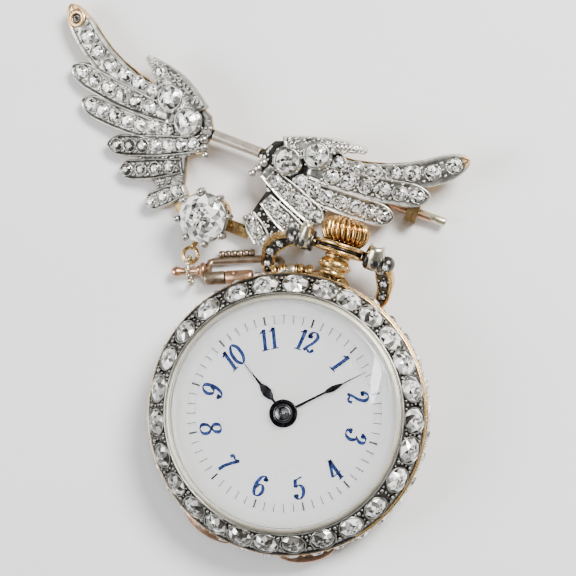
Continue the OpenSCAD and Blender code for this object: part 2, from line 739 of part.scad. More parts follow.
module wing(side) {
  color(silver) on_wing(side) difference() {
    union() {
      translate([0, 0, gap]) wing_plate(side, silver_t);
      for (p = curl) translate([at_wing(side, p[0], p[1])[0], at_wing(side, p[0], p[1])[1], silver_t + gap])
        sphere(r = curl_r);
    }
    each_small_place(side) seat($stone_d, seat_h);
    for (p = large_places) translate([at_wing(side, p[0], p[1])[0], at_wing(side, p[0], p[1])[1], large_top])
      seat(large_stone_d, 0.7);
  }
}

module left_wing() { wing(-1); }
module right_wing() { wing(1); }

module wing_stones(side) {
  color(diamond) on_wing(side) each_small_place(side) small_stone($stone_d);
}

module left_wing_stones() { wing_stones(-1); }
module right_wing_stones() { wing_stones(1); }

module large_stone(side, n) {
  p = at_wing(side, large_places[n][0], large_places[n][1]);
  color(diamond) on_wing(side) translate([p[0], p[1], large_top + gap])
    cut_stone(large_stone_d, large_stone_d * 0.2, 0.6, 10);
}

module left_stone_1() { large_stone(-1, 0); }
module left_stone_2() { large_stone(-1, 1); }
module right_stone_1() { large_stone(1, 0); }
module right_stone_2() { large_stone(1, 1); }

// Bar between the shoulders: silver in front, gold behind as part of the frame

bar_y = 0.55;
bar_front_t = 0.45;
module crossbar() {
  l = web[0][0] * wing_span * left_share - gap;
  color(silver) on_brooch() translate([-l, bar_y * wing_rise - bar_w / 2, gap])
    cube([2 * l, bar_w, bar_front_t]);
}

// Collet of the centre stone: a drum on the frame with claws over the girdle

collet_r = sol_d / 2 + 0.05;
collet_z = 0.35;
collet_at = [-0.1, 0.3, 0];
girdle_z = collet_z + collet_h;
module collet() {
  color(silver) on_brooch() translate(collet_at) {
    difference() {
      translate([0, 0, collet_z]) cylinder(h = collet_h - gap, r1 = collet_r * 0.72, r2 = collet_r);
      translate([0, 0, collet_z + 0.5])
        cylinder(h = collet_h, r1 = collet_r * 0.72 - collet_wall, r2 = collet_r + 0.1);
    }
    for (i = [0:claws - 1]) rotate([0, 0, (i + 0.5) * 360 / claws])
      translate([collet_r + claw_r * 0.75, 0, collet_z + collet_h * 0.55]) {
        cylinder(h = collet_h * 0.45 + 0.15, r = claw_r);
        translate([0, 0, collet_h * 0.45 + 0.15]) sphere(r = claw_r);
      }
  }
}

module solitaire() {
  color(diamond) on_brooch() translate(collet_at + [0, 0, girdle_z + 0.02])
    cut_stone(sol_d - 0.08, sol_d * 0.16, sol_depth, 16);
}

// Gold frame: backs of both wings, bar, base of the collet, eye, pin hinge and catch

hinge_at = [-4.6, 7.25, -1.22];
stem_tilt = [0, stem_pin_dip, 0];
catch_x = 0.831 * wing_span - hinge_at[0];
stem_pin_l = catch_x + stem_past;
// Half the length of the strap that joins the wings behind the centre stone
cross_half = 3.9;
strap_w = 1.2;
strap_t = 0.2;
// Distance by which the bar's gold back lies below the wings' fronts
bar_drop = 0.05;
knuckle_w = 0.7;

module on_hinge() {
  on_brooch() translate(hinge_at) children();
}

module brooch_frame() {
  l = shoulder_x + 0.6;
  color(gold) {
    for (side = [-1, 1]) on_wing(side) translate([0, 0, -gold_t]) wing_plate(side, gold_t);
    on_brooch() {
      translate([-l, bar_y * wing_rise - bar_w / 2, -gold_t]) cube([2 * l, bar_w, gold_t - bar_drop]);
      translate(collet_at - [0, 0, gold_t]) cylinder(h = gold_t + collet_z - gap, r = collet_r * 0.8);
      translate([-cross_half, -strap_w / 2, -gold_t - bar_drop]) cube([2 * cross_half, strap_w, strap_t]);
    }
    eye();
    hinge_lugs();
    catch();
  }
}

module hinge_lugs() {
  on_hinge() difference() {
    for (side = [-1, 1]) translate([0, side * (knuckle_w + run), 0]) {
      rotate([90, 0, 0]) cylinder(h = knuckle_w, r = knuckle_r, center = true);
      translate([-knuckle_r, -knuckle_w / 2, 0])
        cube([2 * knuckle_r, knuckle_w, -hinge_at[2] - gold_t - bar_drop]);
    }
    rotate([90, 0, 0]) cylinder(h = 6, r = rivet_r + run, center = true);
  }
}

module catch() {
  slot = stem_pin_r + 0.12;
  on_hinge() rotate(stem_tilt) translate([catch_x, 0, 0]) difference() {
    translate([-0.55, -slot - 0.4, -0.75]) cube([1.1, 2 * slot + 0.8, catch_h]);
    translate([-2, 0, 0]) rotate([0, 90, 0]) cylinder(h = 4, r = slot);
    translate([-2, -slot, -3]) cube([4, 2 * slot, 3]);
  }
}
catch_h = 1.85;

module pin_stem() {
  color(rose) on_hinge() {
    rotate([90, 0, 0]) cylinder(h = knuckle_w - run, r = knuckle_r - 0.05, center = true);
    rotate([90, 0, 0]) cylinder(h = 3 * knuckle_w, r = rivet_r, center = true);
    rotate(stem_tilt) {
      rod(0, stem_pin_l - 1.6, stem_pin_r);
      translate([stem_pin_l - 1.6, 0, 0]) rotate([0, 90, 0]) cylinder(h = 1.6, r1 = stem_pin_r, r2 = 0.08);
    }
  }
}

case_place() case_back();
case_place() case_middle();
case_place() side_setting();
case_place() side_stones();
case_place() bezel();
case_place() bezel_stones();
case_place() bezel_rim();
case_place() crystal();
case_place() dial();
case_place() movement();
case_place() pendant();
case_place() crown();
case_place() centre_arbor();
case_place() minute_hand();
case_place() hour_hand();
case_place() bow();
case_place() bow_stones();
case_place() swivel_hook();
case_place() swivel_tongue();
case_place() swivel_ring();
case_place() left_wing();
case_place() right_wing();
case_place() left_wing_stones();
case_place() right_wing_stones();
case_place() left_stone_1();
case_place() left_stone_2();
case_place() right_stone_1();
case_place() right_stone_2();
case_place() brooch_frame();
case_place() crossbar();
case_place() collet();
case_place() solitaire();
case_place() pin_stem();
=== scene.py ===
"""Chatelaine watch pin: a winged brooch with a small watch hung from it by a swivel hook.

Lengths are in millimetres in the watch's own frame: the dial's centre is (0, 0), +Y points to twelve
o'clock, +Z out of the dial, and z = 0 is the table. Shape.make() turns them into the frame's metres.
"""

import random
from math import atan2, copysign, cos, degrees, pi, radians, sin, sqrt, tau

import bpy
from mathutils import Matrix, Vector

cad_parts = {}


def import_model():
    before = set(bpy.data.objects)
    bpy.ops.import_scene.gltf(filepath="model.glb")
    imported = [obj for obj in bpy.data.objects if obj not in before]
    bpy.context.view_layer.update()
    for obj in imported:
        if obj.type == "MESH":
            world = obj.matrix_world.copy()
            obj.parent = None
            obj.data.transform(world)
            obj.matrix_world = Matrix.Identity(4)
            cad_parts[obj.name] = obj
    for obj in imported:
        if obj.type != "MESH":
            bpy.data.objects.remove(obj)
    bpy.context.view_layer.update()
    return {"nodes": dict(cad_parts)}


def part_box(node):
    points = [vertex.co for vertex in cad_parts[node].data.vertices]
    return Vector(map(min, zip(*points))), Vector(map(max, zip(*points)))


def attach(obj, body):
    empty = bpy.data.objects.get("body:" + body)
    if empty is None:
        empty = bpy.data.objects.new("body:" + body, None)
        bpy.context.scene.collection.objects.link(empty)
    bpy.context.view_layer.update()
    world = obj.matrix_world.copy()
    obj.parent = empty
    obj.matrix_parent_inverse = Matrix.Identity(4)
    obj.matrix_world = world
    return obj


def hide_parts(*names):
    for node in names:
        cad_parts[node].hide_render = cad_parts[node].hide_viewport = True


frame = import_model()

MM = 0.001
dial_low, dial_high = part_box("dial")
CENTRE = Vector(((dial_low.x + dial_high.x) / 2, (dial_low.y + dial_high.y) / 2, 0))
X, Y, Z = Vector((1, 0, 0)), Vector((0, 1, 0)), Vector((0, 0, 1))


def high(node):
    """Top of a CAD node in millimetres."""
    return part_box(node)[1].z / MM


def low(node):
    """Bottom of a CAD node in millimetres."""
    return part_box(node)[0].z / MM


def polar(r, clock, z=0.0):
    """Point at a distance from the dial's centre and an angle in degrees clockwise from twelve."""
    a = radians(clock)
    return Vector((r * sin(a), r * cos(a), z))


def rise(z):
    """Step of that height."""
    return Vector((0, 0, z))


def around(r, a, z=0.0):
    """Point at a distance from the z axis and an angle in radians anticlockwise from x."""
    return Vector((r * cos(a), r * sin(a), z))


def circle(r, n, z=0.0, shift=0.0):
    """Even points round the z axis. The first one is that share of a step past x."""
    return [around(r, tau * (k + shift) / n, z) for k in range(n)]


def spin(angle, axis):
    """Turn by an angle in degrees."""
    return Matrix.Rotation(radians(angle), 4, axis)


def stretched(factor):
    """Scaling along x only; -1 mirrors."""
    return Matrix.Diagonal((factor, 1, 1, 1))


def shares(n):
    """Numbers from 0 to 1 in n even steps."""
    return [k / n for k in range(n + 1)]


# Sizes that both the pieces and the materials use

CASE_R = 12.45
BACK_H = high("case_back")
BAND_TOP = high("case_middle")
DIAL_TOP = high("dial")
RIM_TOP = high("bezel_rim")
BEZEL_IN, BEZEL_OUT = 10.95, 12.95
RIM_IN = 10.54

# Rows and columns in the mesh of a small ball
GRAIN, BEAD, BIG_BEAD = (5, 7), (5, 8), (8, 12)


# Mesh building

def put(name, data):
    """Puts a mesh, light or camera in the scene."""
    thing = bpy.data.objects.new(name, data)
    bpy.context.scene.collection.objects.link(thing)
    return thing


class Shape:
    """Collects vertices and faces in millimetres, each face with a material and a smooth flag."""

    def __init__(self):
        self.points, self.faces, self.slots, self.smooth = [], [], [], []

    def add(self, points, faces, slot=0, smooth=True, at=None):
        """Takes faces over. slot is one number or one for each face, at is a matrix for the points."""
        start = len(self.points)
        self.points.extend(tuple(at @ Vector(p)) if at is not None else tuple(p) for p in points)
        mirrored = at is not None and at.determinant() < 0
        for k, face in enumerate(faces):
            self.faces.append([start + i for i in (reversed(face) if mirrored else face)])
            self.slots.append(slot[k] if isinstance(slot, list) else slot)
            self.smooth.append(smooth)

    def make(self, name, materials, body, replaces=(), slot="gold"):
        """Turns what was collected into one named piece of the scene."""
        mesh = bpy.data.meshes.new(name)
        mesh.from_pydata([tuple(CENTRE + Vector(p) * MM) for p in self.points], [], self.faces)
        for material in materials:
            mesh.materials.append(material)
        mesh.polygons.foreach_set("material_index", self.slots)
        mesh.polygons.foreach_set("use_smooth", self.smooth)
        mesh.validate()
        mesh.update()
        piece = put(name, mesh)
        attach(piece, body)
        for node in replaces:
            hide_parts(node)


def aim(origin, up, along=X):
    """Matrix whose z axis is up, whose x axis leans to along, and whose origin is the point."""
    z = Vector(up).normalized()
    x = along - z * along.dot(z)
    if x.length < 1e-6:
        x = Y - z * z.y
    x.normalize()
    m = Matrix((x, z.cross(x), z)).transposed().to_4x4()
    m.translation = Vector(origin)
    return m


def upright(m):
    """Direction of a matrix's z axis."""
    return m.to_3x3() @ Z


def loft(shape, rows, slot=0, smooth=True, at=None, ends=True, flip=False):
    """Skin over closed sections of equally many points, with a face over each end.

    flip turns the faces over, for sections that run the other way round.
    """
    n = len(rows[0])
    faces = []
    for start in range(0, (len(rows) - 1) * n, n):
        for k in range(n):
            a, b = start + k, start + (k + 1) % n
            faces.append([a, a + n, b + n, b] if flip else [a, b, b + n, a + n])
    if ends:
        first, last = list(range(n)), [(len(rows) - 1) * n + k for k in range(n)]
        faces += [first, last[::-1]] if flip else [first[::-1], last]
    shape.add([p for row in rows for p in row], faces, slot, smooth, at)


def lathe(shape, profile, slot=0, at=None, n=96, start=0.0, turn=tau):
    """Turns a closed section, given as (radius, height), round z."""
    full = turn == tau
    columns = n if full else n + 1
    points = []
    for i in range(columns):
        a = start + turn * i / n
        points += [(r * cos(a), r * sin(a), z) for r, z in profile]
    m = len(profile)
    faces = []
    for i in range(n):
        j = (i + 1) % columns
        for k in range(m):
            after = (k + 1) % m
            faces.append([i * m + k, j * m + k, j * m + after, i * m + after])
    if not full:
        faces += [list(range(m)), [n * m + k for k in reversed(range(m))]]
    shape.add(points, faces, slot, True, at)


def rounded(points, radius=0.06):
    """Closed profile with each corner cut by a small arc."""
    out = []
    count = len(points)
    for i in range(count):
        p, c, q = (Vector(points[(i + d) % count]) for d in (-1, 0, 1))
        a, b = p - c, q - c
        cut = min(radius, a.length * 0.4, b.length * 0.4)
        a, b = c + a.normalized() * cut, c + b.normalized() * cut
        out += [tuple(quad_curve(a, c, b, t)) for t in shares(2)]
    return out


def quad_curve(a, b, c, t):
    """Point of a curve from a to c that leans towards b."""
    return a * (1 - t) ** 2 + b * 2 * t * (1 - t) + c * t * t


def mirrored(half):
    """Section whose first half, up to x = 0, is given."""
    return half + [(-x, z) for x, z in reversed(half) if x]


def ball(shape, centre, r, slot=0, mesh=BEAD, squash=1.0, up=Z):
    """Round or squashed ball. mesh is its number of rows and columns."""
    rows, n = mesh
    points, faces = [(0, 0, -r * squash)], []
    for k in range(1, rows):
        points += circle(r * sin(pi * k / rows), n, -r * squash * cos(pi * k / rows))
    points.append((0, 0, r * squash))
    for i in range(n):
        j = (i + 1) % n
        faces.append([0, 1 + j, 1 + i])
        for start in range(1, 1 + (rows - 2) * n, n):
            faces.append([start + i, start + j, start + n + j, start + n + i])
        last = 1 + (rows - 2) * n
        faces.append([last + i, last + j, len(points) - 1])
    shape.add(points, faces, slot, True, aim(centre, up))


def direction(line, i):
    """Unit vector along an open line at its point i."""
    return (line[min(i + 1, len(line) - 1)] - line[max(i - 1, 0)]).normalized()


def left_of(d):
    """Unit vector to the left of a direction in the plane."""
    return Vector((-d.y, d.x, 0))


def tube(shape, path, radii, slot=0, n=14, normal=Z):
    """Round rod along a path. radii is one number or one for each point."""
    path = [Vector(p) for p in path]
    radii = radii if isinstance(radii, (list, tuple)) else [radii] * len(path)
    rows = []
    for i, (p, r) in enumerate(zip(path, radii)):
        tangent = direction(path, i)
        side = tangent.cross(normal)
        if side.length < 1e-4:
            side = tangent.cross(Vector((1, 0.3, 0)))
        side.normalize()
        up = side.cross(tangent)
        rows.append([p + side * r * cos(a) + up * r * sin(a) for a in (tau * k / n for k in range(n))])
    loft(shape, rows, slot)


def rounded_rod(shape, a, b, r, slot=0, n=18, end=0.35):
    """Straight rod with rounded ends."""
    a, b = Vector(a), Vector(b)
    axis = (b - a).normalized()
    length = min(r * end, (b - a).length / 2)
    steps = [(0, 0.72), (0.3, 0.9), (1, 1)]
    path = [a + axis * length * s for s, _ in steps] + [b - axis * length * s for s, _ in reversed(steps)]
    radii = [r * share for _, share in steps]
    tube(shape, path, radii + radii[::-1], slot, n)


def curve(points, steps, closed=False):
    """Smooth curve through points of the plane."""
    p = [Vector((x, y, 0)) for x, y in points]
    count = len(p)
    out = []
    for i in range(count if closed else count - 1):
        if closed:
            a, b, c, d = (p[(i + k) % count] for k in (-1, 0, 1, 2))
        else:
            a, b, c, d = p[max(i - 1, 0)], p[i], p[i + 1], p[min(i + 2, count - 1)]
        for k in range(steps):
            t = k / steps
            bend = (2 * a - 5 * b + 4 * c - d) * t * t + (3 * b - a - 3 * c + d) * t ** 3
            out.append(0.5 * (2 * b + (c - a) * t + bend))
    if not closed:
        out.append(p[-1])
    return out


# Cut stones: facets take one of four diamond materials, painted glints and reflections, so a stone sparkles
# from every side

BRIGHT, CLEAR, MID, DARK = range(4)


def collar(shape, m, d, steps, n):
    """Ring round a stone of diameter d; each step is a distance from the stone's edge and a height."""
    lathe(shape, [(d / 2 + out, z) for out, z in steps], 0, m, n)


def tone(rng, weights):
    """One of the four materials, drawn by chance."""
    return rng.choices((BRIGHT, CLEAR, MID, DARK), weights)[0]


def gem(shape, centre, up, d, rng, sides=8, crown=0.2, table=0.5, stretch=1.0, light=1.0, along=X, shade=1.0):
    """Old-cut stone: a facetted table, star, kite and girdle facets, and a short wall into its seat."""
    turn = Matrix.Rotation(rng.uniform(0, tau), 4, "Z")
    m = aim(centre, up, along) @ stretched(stretch) @ turn
    r = d / 2
    h = crown * d

    def ring(radius, z, shift=0.0, wobble=0.0):
        return [(radius * cos(tau * (i + shift) / sides) * (1 + rng.uniform(-wobble, wobble)),
                 radius * sin(tau * (i + shift) / sides) * (1 + rng.uniform(-wobble, wobble)), z)
                for i in range(sides)]

    points = [(0, 0, h * 1.01)] + ring(r * table * 0.45, h, 0.0, 0.1) + ring(r * table, h * 0.98, 0.0, 0.03)
    points += ring(r * (0.5 + table / 2) * 0.97, h * 0.56, 0.5, 0.03)
    points += ring(r, 0.0, 0.0, 0.02) + ring(r * 0.9, -0.3 * d)
    inner, top, middle, girdle, seat = (1 + k * sides for k in range(5))
    # light and shade weigh the painted glints and the painted dark reflections
    table_tones = (1.7 * light, 1.8, 2.2, 2.1 * shade)
    crown_tones = (2.5 * light, 2.2, 1.9, 1.5 * shade)
    faces, slots = [], []
    for i in range(sides):
        j, before = (i + 1) % sides, (i - 1) % sides
        inside = [[0, inner + i, inner + j], [inner + i, top + i, top + j], [inner + i, top + j, inner + j]]
        outside = [[top + i, middle + i, top + j], [top + i, middle + before, girdle + i, middle + i],
                   [middle + i, girdle + i, girdle + j]]
        faces += inside + outside + [[girdle + i, seat + i, seat + j, girdle + j]]
        slots += [tone(rng, table_tones) for _ in inside]
        slots += [tone(rng, crown_tones) for _ in outside] + [MID]
    faces.append([seat + k for k in reversed(range(sides))])
    slots.append(DARK)
    shape.add(points, faces, slots, False, m)


# Materials

class Nodes:
    """Node tree of a new material, or of the world, with the few links that every finish here needs."""

    def __init__(self, name, kind=bpy.data.materials, shader="Principled BSDF", **values):
        self.owner = kind.new(name)
        self.owner.use_nodes = True
        self.tree = self.owner.node_tree
        self.shader = self.tree.nodes[shader]
        self.place = self.add("ShaderNodeTexCoord").outputs["Object"]
        for key, value in values.items():
            self.shader.inputs[key.replace("_", " ")].default_value = value

    def feed(self, socket, value):
        """Links a node's output to the socket, or sets the socket to a value."""
        if isinstance(value, bpy.types.NodeSocket):
            self.tree.links.new(value, socket)
        else:
            socket.default_value = value

    def add(self, kind, **values):
        """New node whose inputs of these names are fed with the values."""
        node = self.tree.nodes.new(kind)
        for key, value in values.items():
            self.feed(node.inputs[key.replace("_", " ")], value)
        return node

    def link(self, output, socket):
        self.tree.links.new(output, self.shader.inputs[socket])

    def noise(self, size, detail=3.0, rough=0.6):
        """Noise whose features are about that many millimetres across."""
        node = self.add("ShaderNodeTexNoise", Vector=self.place, Scale=1 / (size * MM), Detail=detail,
                        Roughness=rough)
        return node.outputs["Fac"]

    def ramp(self, factor, *stops):
        """Colour between two stops, each a place on the factor's scale and a colour."""
        node = self.add("ShaderNodeValToRGB", Fac=factor)
        for element, (position, colour) in zip(node.color_ramp.elements, stops):
            element.position = position
            element.color = (*colour, 1)
        return node.outputs["Color"]

    def mix(self, factor, a, b):
        """Colour a where the factor is 0 and b where it is 1."""
        node = self.add("ShaderNodeMix")
        node.data_type = "RGBA"
        sockets = {s.identifier: s for s in node.inputs}
        self.feed(sockets["Factor_Float"], factor)
        for key, value in (("A_Color", a), ("B_Color", b)):
            self.feed(sockets[key], (*value, 1) if isinstance(value, tuple) else value)
        return next(s for s in node.outputs if s.identifier == "Result_Color")

    def hollow(self, distance):
        """Painted shade: dark in crevices narrower than the distance in millimetres, white in the open."""
        node = self.add("ShaderNodeAmbientOcclusion", Distance=distance * MM)
        node.samples = 6
        return node.outputs["AO"]

    def range(self, factor, least, most):
        return self.add("ShaderNodeMapRange", Value=factor, To_Min=least, To_Max=most).outputs["Result"]

    def bump(self, factor, depth, strength=0.5):
        node = self.add("ShaderNodeBump", Distance=depth * MM, Strength=strength, Height=factor)
        self.link(node.outputs["Normal"], "Normal")


BLACK_RGB, WHITE_RGB = (0, 0, 0), (1, 1, 1)


def metal(name, light, dark, crevice_shade, roughness=(0.16, 0.4), patch=0.9, shade_reach=0.5, dents=0.02):
    """Worn metal: clouded colour, painted shade in the crevices, uneven gloss and small dents."""
    n = Nodes(name, Metallic=1.0)
    colour = n.ramp(n.noise(patch, 4), (0.32, dark), (0.62, light))
    # Painted shade: the occlusion mask darkens the colour in the crevices
    unshaded = n.ramp(n.hollow(shade_reach), (0.25, BLACK_RGB), (0.8, WHITE_RGB))
    n.link(n.mix(unshaded, crevice_shade, colour), "Base Color")
    n.link(n.range(n.noise(patch * 0.45, 3), *roughness), "Roughness")
    n.bump(n.noise(patch * 0.3, 3), dents, 0.6)
    return n.owner


GOLD = metal("gold", (0.82, 0.56, 0.25), (0.54, 0.33, 0.12), (0.06, 0.03, 0.012), dents=0.008)
CROWN_GOLD = metal(
    "crown_gold", (0.86, 0.53, 0.20), (0.60, 0.30, 0.085), (0.035, 0.013, 0.004), (0.16, 0.34), 0.7, 0.8)
PALE_GOLD = metal(
    "pale_gold", (0.80, 0.74, 0.56), (0.52, 0.47, 0.33), (0.10, 0.09, 0.06), (0.18, 0.42), 1.3)
RIM_GOLD = metal(
    "rim_gold", (0.88, 0.83, 0.68), (0.66, 0.60, 0.45), (0.08, 0.065, 0.04), (0.34, 0.5), 1.3, 0.22)
ROSE = metal("rose_gold", (0.70, 0.42, 0.27), (0.40, 0.235, 0.155), (0.05, 0.026, 0.016), (0.2, 0.45))
DULL_ROSE = metal(
    "dull_rose_gold", (0.42, 0.33, 0.24), (0.19, 0.145, 0.10), (0.035, 0.026, 0.018), (0.25, 0.5))
SEAT_GOLD = metal(
    "bare_seat", (0.92, 0.66, 0.36), (0.66, 0.38, 0.17), (0.05, 0.02, 0.01), (0.3, 0.5), 0.5, 0.9)
SILVER = metal(
    "silver", (0.66, 0.645, 0.595), (0.28, 0.265, 0.23), (0.035, 0.031, 0.025), (0.2, 0.42), 0.8, 0.8)
PALE_SILVER = metal(
    "pale_silver", (0.88, 0.86, 0.80), (0.50, 0.48, 0.42), (0.06, 0.055, 0.045), (0.2, 0.45), 0.8, 0.7)
BAR_SILVER = metal(
    "bar_silver", (0.64, 0.575, 0.48), (0.44, 0.39, 0.31), (0.10, 0.08, 0.05), (0.3, 0.5), 1.5, 0.5)
GREY_SILVER = metal(
    "grey_silver", (0.42, 0.41, 0.37), (0.15, 0.14, 0.12), (0.018, 0.016, 0.013), (0.22, 0.45), 0.6, 0.8)
BLACK_SILVER = metal(
    "black_silver", (0.15, 0.143, 0.13), (0.035, 0.033, 0.03), (0.01, 0.009, 0.008), (0.2, 0.45), 0.5)
STEEL = metal("grey_steel", (0.30, 0.30, 0.31), (0.13, 0.13, 0.135), (0.03, 0.03, 0.03), (0.25, 0.45), 0.5)


def blackened():
    """Nearly black steel with a soft shine."""
    n = Nodes("blackened_steel", Metallic=0.6)
    n.link(n.ramp(n.noise(0.7), (0.35, (0.012, 0.012, 0.014)), (0.7, (0.03, 0.03, 0.035))), "Base Color")
    n.link(n.range(n.noise(0.4), 0.15, 0.32), "Roughness")
    n.bump(n.noise(0.2), 0.006)
    return n.owner


def diamond(name, light, dark, **values):
    """One family of facets, painted in one tone of reflection. The colour shifts a little over each stone."""
    n = Nodes(name, IOR=2.1, **values)
    n.link(n.ramp(n.noise(0.5, 2), (0.35, dark), (0.65, light)), "Base Color")
    return n.owner


def enamel():
    """Warm white with faint clouds and specks, painted greyer where the rim shades it, and a faint glow of
    painted light.
    """
    # Painted light: the emission makes the whole dial glow a little
    n = Nodes("white_enamel", Roughness=0.14, Coat_Weight=0.6, Coat_Roughness=0.03, Emission_Strength=0.55,
              Emission_Color=(1.0, 0.985, 0.95, 1))
    clouds = n.ramp(n.noise(5.0, 3), (0.3, (0.92, 0.915, 0.90)), (0.7, (0.98, 0.975, 0.955)))
    specks = n.ramp(n.noise(0.12, 2), (0.72, BLACK_RGB), (0.80, WHITE_RGB))
    colour = n.mix(specks, clouds, (0.62, 0.60, 0.57))
    # Painted shade: greyer from 8.2 mm out to the rim
    reach = n.add("ShaderNodeVectorMath")
    reach.operation = "DISTANCE"
    n.feed(reach.inputs[0], n.place)
    n.feed(reach.inputs[1], CENTRE + Vector((-0.4, -0.6, DIAL_TOP)) * MM)
    edge = n.add("ShaderNodeMapRange", Value=reach.outputs["Value"], From_Min=8.2 * MM, From_Max=11.2 * MM)
    n.link(n.mix(edge.outputs["Result"], colour, (0.56, 0.565, 0.56)), "Base Color")
    n.bump(n.noise(3.0, 2), 0.01, 0.2)
    return n.owner


def ink(name, light, dark):
    """Fired paint that is a little uneven in tone."""
    n = Nodes(name, Roughness=0.25, Coat_Weight=0.5)
    n.link(n.ramp(n.noise(0.22, 3, 0.7), (0.38, dark), (0.66, light)), "Base Color")
    return n.owner


def clear_glass():
    """Clear glass, faintly blue in places."""
    n = Nodes("watch_glass", Roughness=0.0, IOR=1.3, Transmission_Weight=1.0)
    n.link(n.ramp(n.noise(6.0, 2), (0.3, (0.97, 0.985, 1.0)), (0.7, (1.0, 1.0, 1.0))), "Base Color")
    return n.owner


BLACK = blackened()
# Painted light: the bright facets are painted glints that also glow a little; the clear, mid and dark ones
# are painted reflections
DIAMONDS = [
    diamond("diamond_bright", (0.97, 0.965, 0.94), (0.80, 0.79, 0.76), Roughness=0.06,
            Emission_Strength=0.12, Emission_Color=(1, 1, 1, 1)),
    diamond("diamond_clear", (0.66, 0.66, 0.64), (0.42, 0.415, 0.39), Roughness=0.04, Metallic=0.35),
    diamond("diamond_mid", (0.34, 0.33, 0.305), (0.15, 0.143, 0.125), Roughness=0.05, Metallic=0.5),
    diamond("diamond_dark", (0.10, 0.093, 0.08), (0.022, 0.02, 0.017), Roughness=0.04, Metallic=0.5),
]
ENAMEL = enamel()
BLUE = ink("blue_numerals", (0.055, 0.095, 0.29), (0.012, 0.026, 0.13))
TRACK = ink("track_lines", (0.16, 0.165, 0.18), (0.03, 0.03, 0.035))
FAINT = ink("faint_lines", (0.50, 0.50, 0.51), (0.26, 0.26, 0.27))
CRACK = ink("hairline", (0.50, 0.49, 0.47), (0.36, 0.35, 0.33))
GLASS = clear_glass()


# Watch case

def case_back():
    """Domed back with its thumb pieces, and the knuckles of its hinge."""
    s = Shape()
    flat_r, rim_r, edge, wall, axis_r = 6.0, 12.65, 0.35, 0.5, 0.02
    outer = [(flat_r + (rim_r - flat_r) * sin(pi / 2 * t), (BACK_H - edge) * (1 - cos(pi / 2 * t)))
             for t in shares(14)]
    inner = [(r - wall, z + wall) for r, z in reversed(outer) if r - wall > 1]
    middle = [(r, 0) for r in (axis_r, 0.12, 0.7, 3)]
    rim = [(rim_r, BACK_H - 0.06), (rim_r - 0.06, BACK_H), (rim_r - wall, BACK_H)]
    lathe(s, middle + outer + rim + inner[1:] + [(axis_r, wall)], n=144)
    # Thumb pieces
    thumb_r, root = 14.0, rim_r - 0.15
    section = ((0, -edge), (0.9, -edge + 0.05), (1, -0.1), (0.94, 0.06), (0, -0.04))
    for start, stop in ((142, 168), (185, 213)):
        rows = []
        for t in shares(18):
            out = (thumb_r - root) * sin(pi * t) ** 0.3
            clock = start + (stop - start) * t
            rows.append([polar(root + out * share, clock, BACK_H + z) for share, z in section])
        loft(s, rows, ends=False)
    # Knuckles of the back's hinge beside the pendant
    hinge_r, half = 13.5, 0.6
    for start, stop, thick, slot in (
            (-25.4, -23.2, half, 1), (-22.8, -20.6, half, 1), (-20, -15.4, half, 2),
            (-14.8, -12.4, 1.1 * half, 1), (-12, -8.4, half, 1)):
        line = [polar(hinge_r, start + (stop - start) * t, BACK_H - half) for t in shares(6)]
        tube(s, line, [thick * share for share in (0.75, 0.96, 1, 1, 1, 0.96, 0.75)], slot, 18)
    for clock in (-20.1, -15.3, -10.2):
        lathe(s, [(half - 0.1, -0.1), (half + 0.05, -0.07), (half + 0.05, 0.07), (half - 0.1, 0.1)], 1,
              aim(polar(hinge_r, clock, BACK_H - half), polar(1, clock + 90)), 24)
    s.make("case_back_shell", [ROSE, GOLD, PALE_GOLD], "watch", ["case_back"], "rose_gold")


LIP_H = 0.25
SETTING_R = 13.08
BAND_FOOT = low("case_middle")
SIDE_Z = (BAND_FOOT + BAND_TOP - LIP_H) / 2


def case_middle():
    """Plain band round the case with a lip at its top."""
    s = Shape()
    inner, lip_r, lip_z = CASE_R - 1.15, SETTING_R + 0.02, BAND_TOP - LIP_H
    lathe(s, rounded([(inner, BAND_FOOT), (CASE_R, BAND_FOOT), (CASE_R, lip_z), (lip_r, lip_z),
                      (lip_r, BAND_TOP), (inner, BAND_TOP)], 0.07), n=144)
    s.make("case_band", [GOLD], "watch", ["case_middle"], "gold")


def side_row():
    """Stones round the band in small collets, with pairs of beads between them."""
    rng = random.Random(11)
    places, bare, stone_d = 36, 1.6, 1.65
    metalwork, stones = Shape(), Shape()
    opening = degrees(1.9 / SETTING_R)
    top = BAND_TOP - LIP_H - 0.03
    lathe(metalwork, rounded([(CASE_R + 0.03, BAND_FOOT), (SETTING_R - 0.05, BAND_FOOT),
                              (SETTING_R - 0.14, SIDE_Z), (SETTING_R - 0.05, top), (CASE_R + 0.03, top)]),
          1, n=140, start=radians(90 + opening), turn=radians(360 - 2 * opening))
    for i in range(places):
        if min(i, places - i) <= bare:
            continue
        clock = i * 360 / places
        out = polar(1, clock)
        collar(metalwork, aim(polar(SETTING_R - 0.02, clock, SIDE_Z), out, Z), stone_d,
               ((-0.07, -0.12), (0.02, 0.07), (0.1, 0.04), (0.1, -0.2)), 20)
        gem(stones, polar(SETTING_R - 0.03, clock, SIDE_Z), out, stone_d * rng.uniform(0.95, 1.0), rng)
        if min(i + 0.5, places - i - 0.5) > bare:
            for z, size in ((-0.62, 0.16), (0.0, 0.12), (0.62, 0.16)):
                ball(metalwork, polar(SETTING_R + 0.02, clock + 180 / places, SIDE_Z + z), size)
    metalwork.make("side_collets", [PALE_GOLD, BLACK_SILVER], "watch", ["side_setting"], "dark_silver")
    stones.make("side_gems", DIAMONDS, "watch", ["side_stones"], "diamond")


BEZEL_CLOCKS = [-13, 0.5, 12, 24, 37, 49, 61, 75, 88, 102, 117.5, 131, 144.5, 158, 170.5, 182, 194, 206, 219,
                233, 248, 263, 277, 291, 305.5, 320, 333.5]


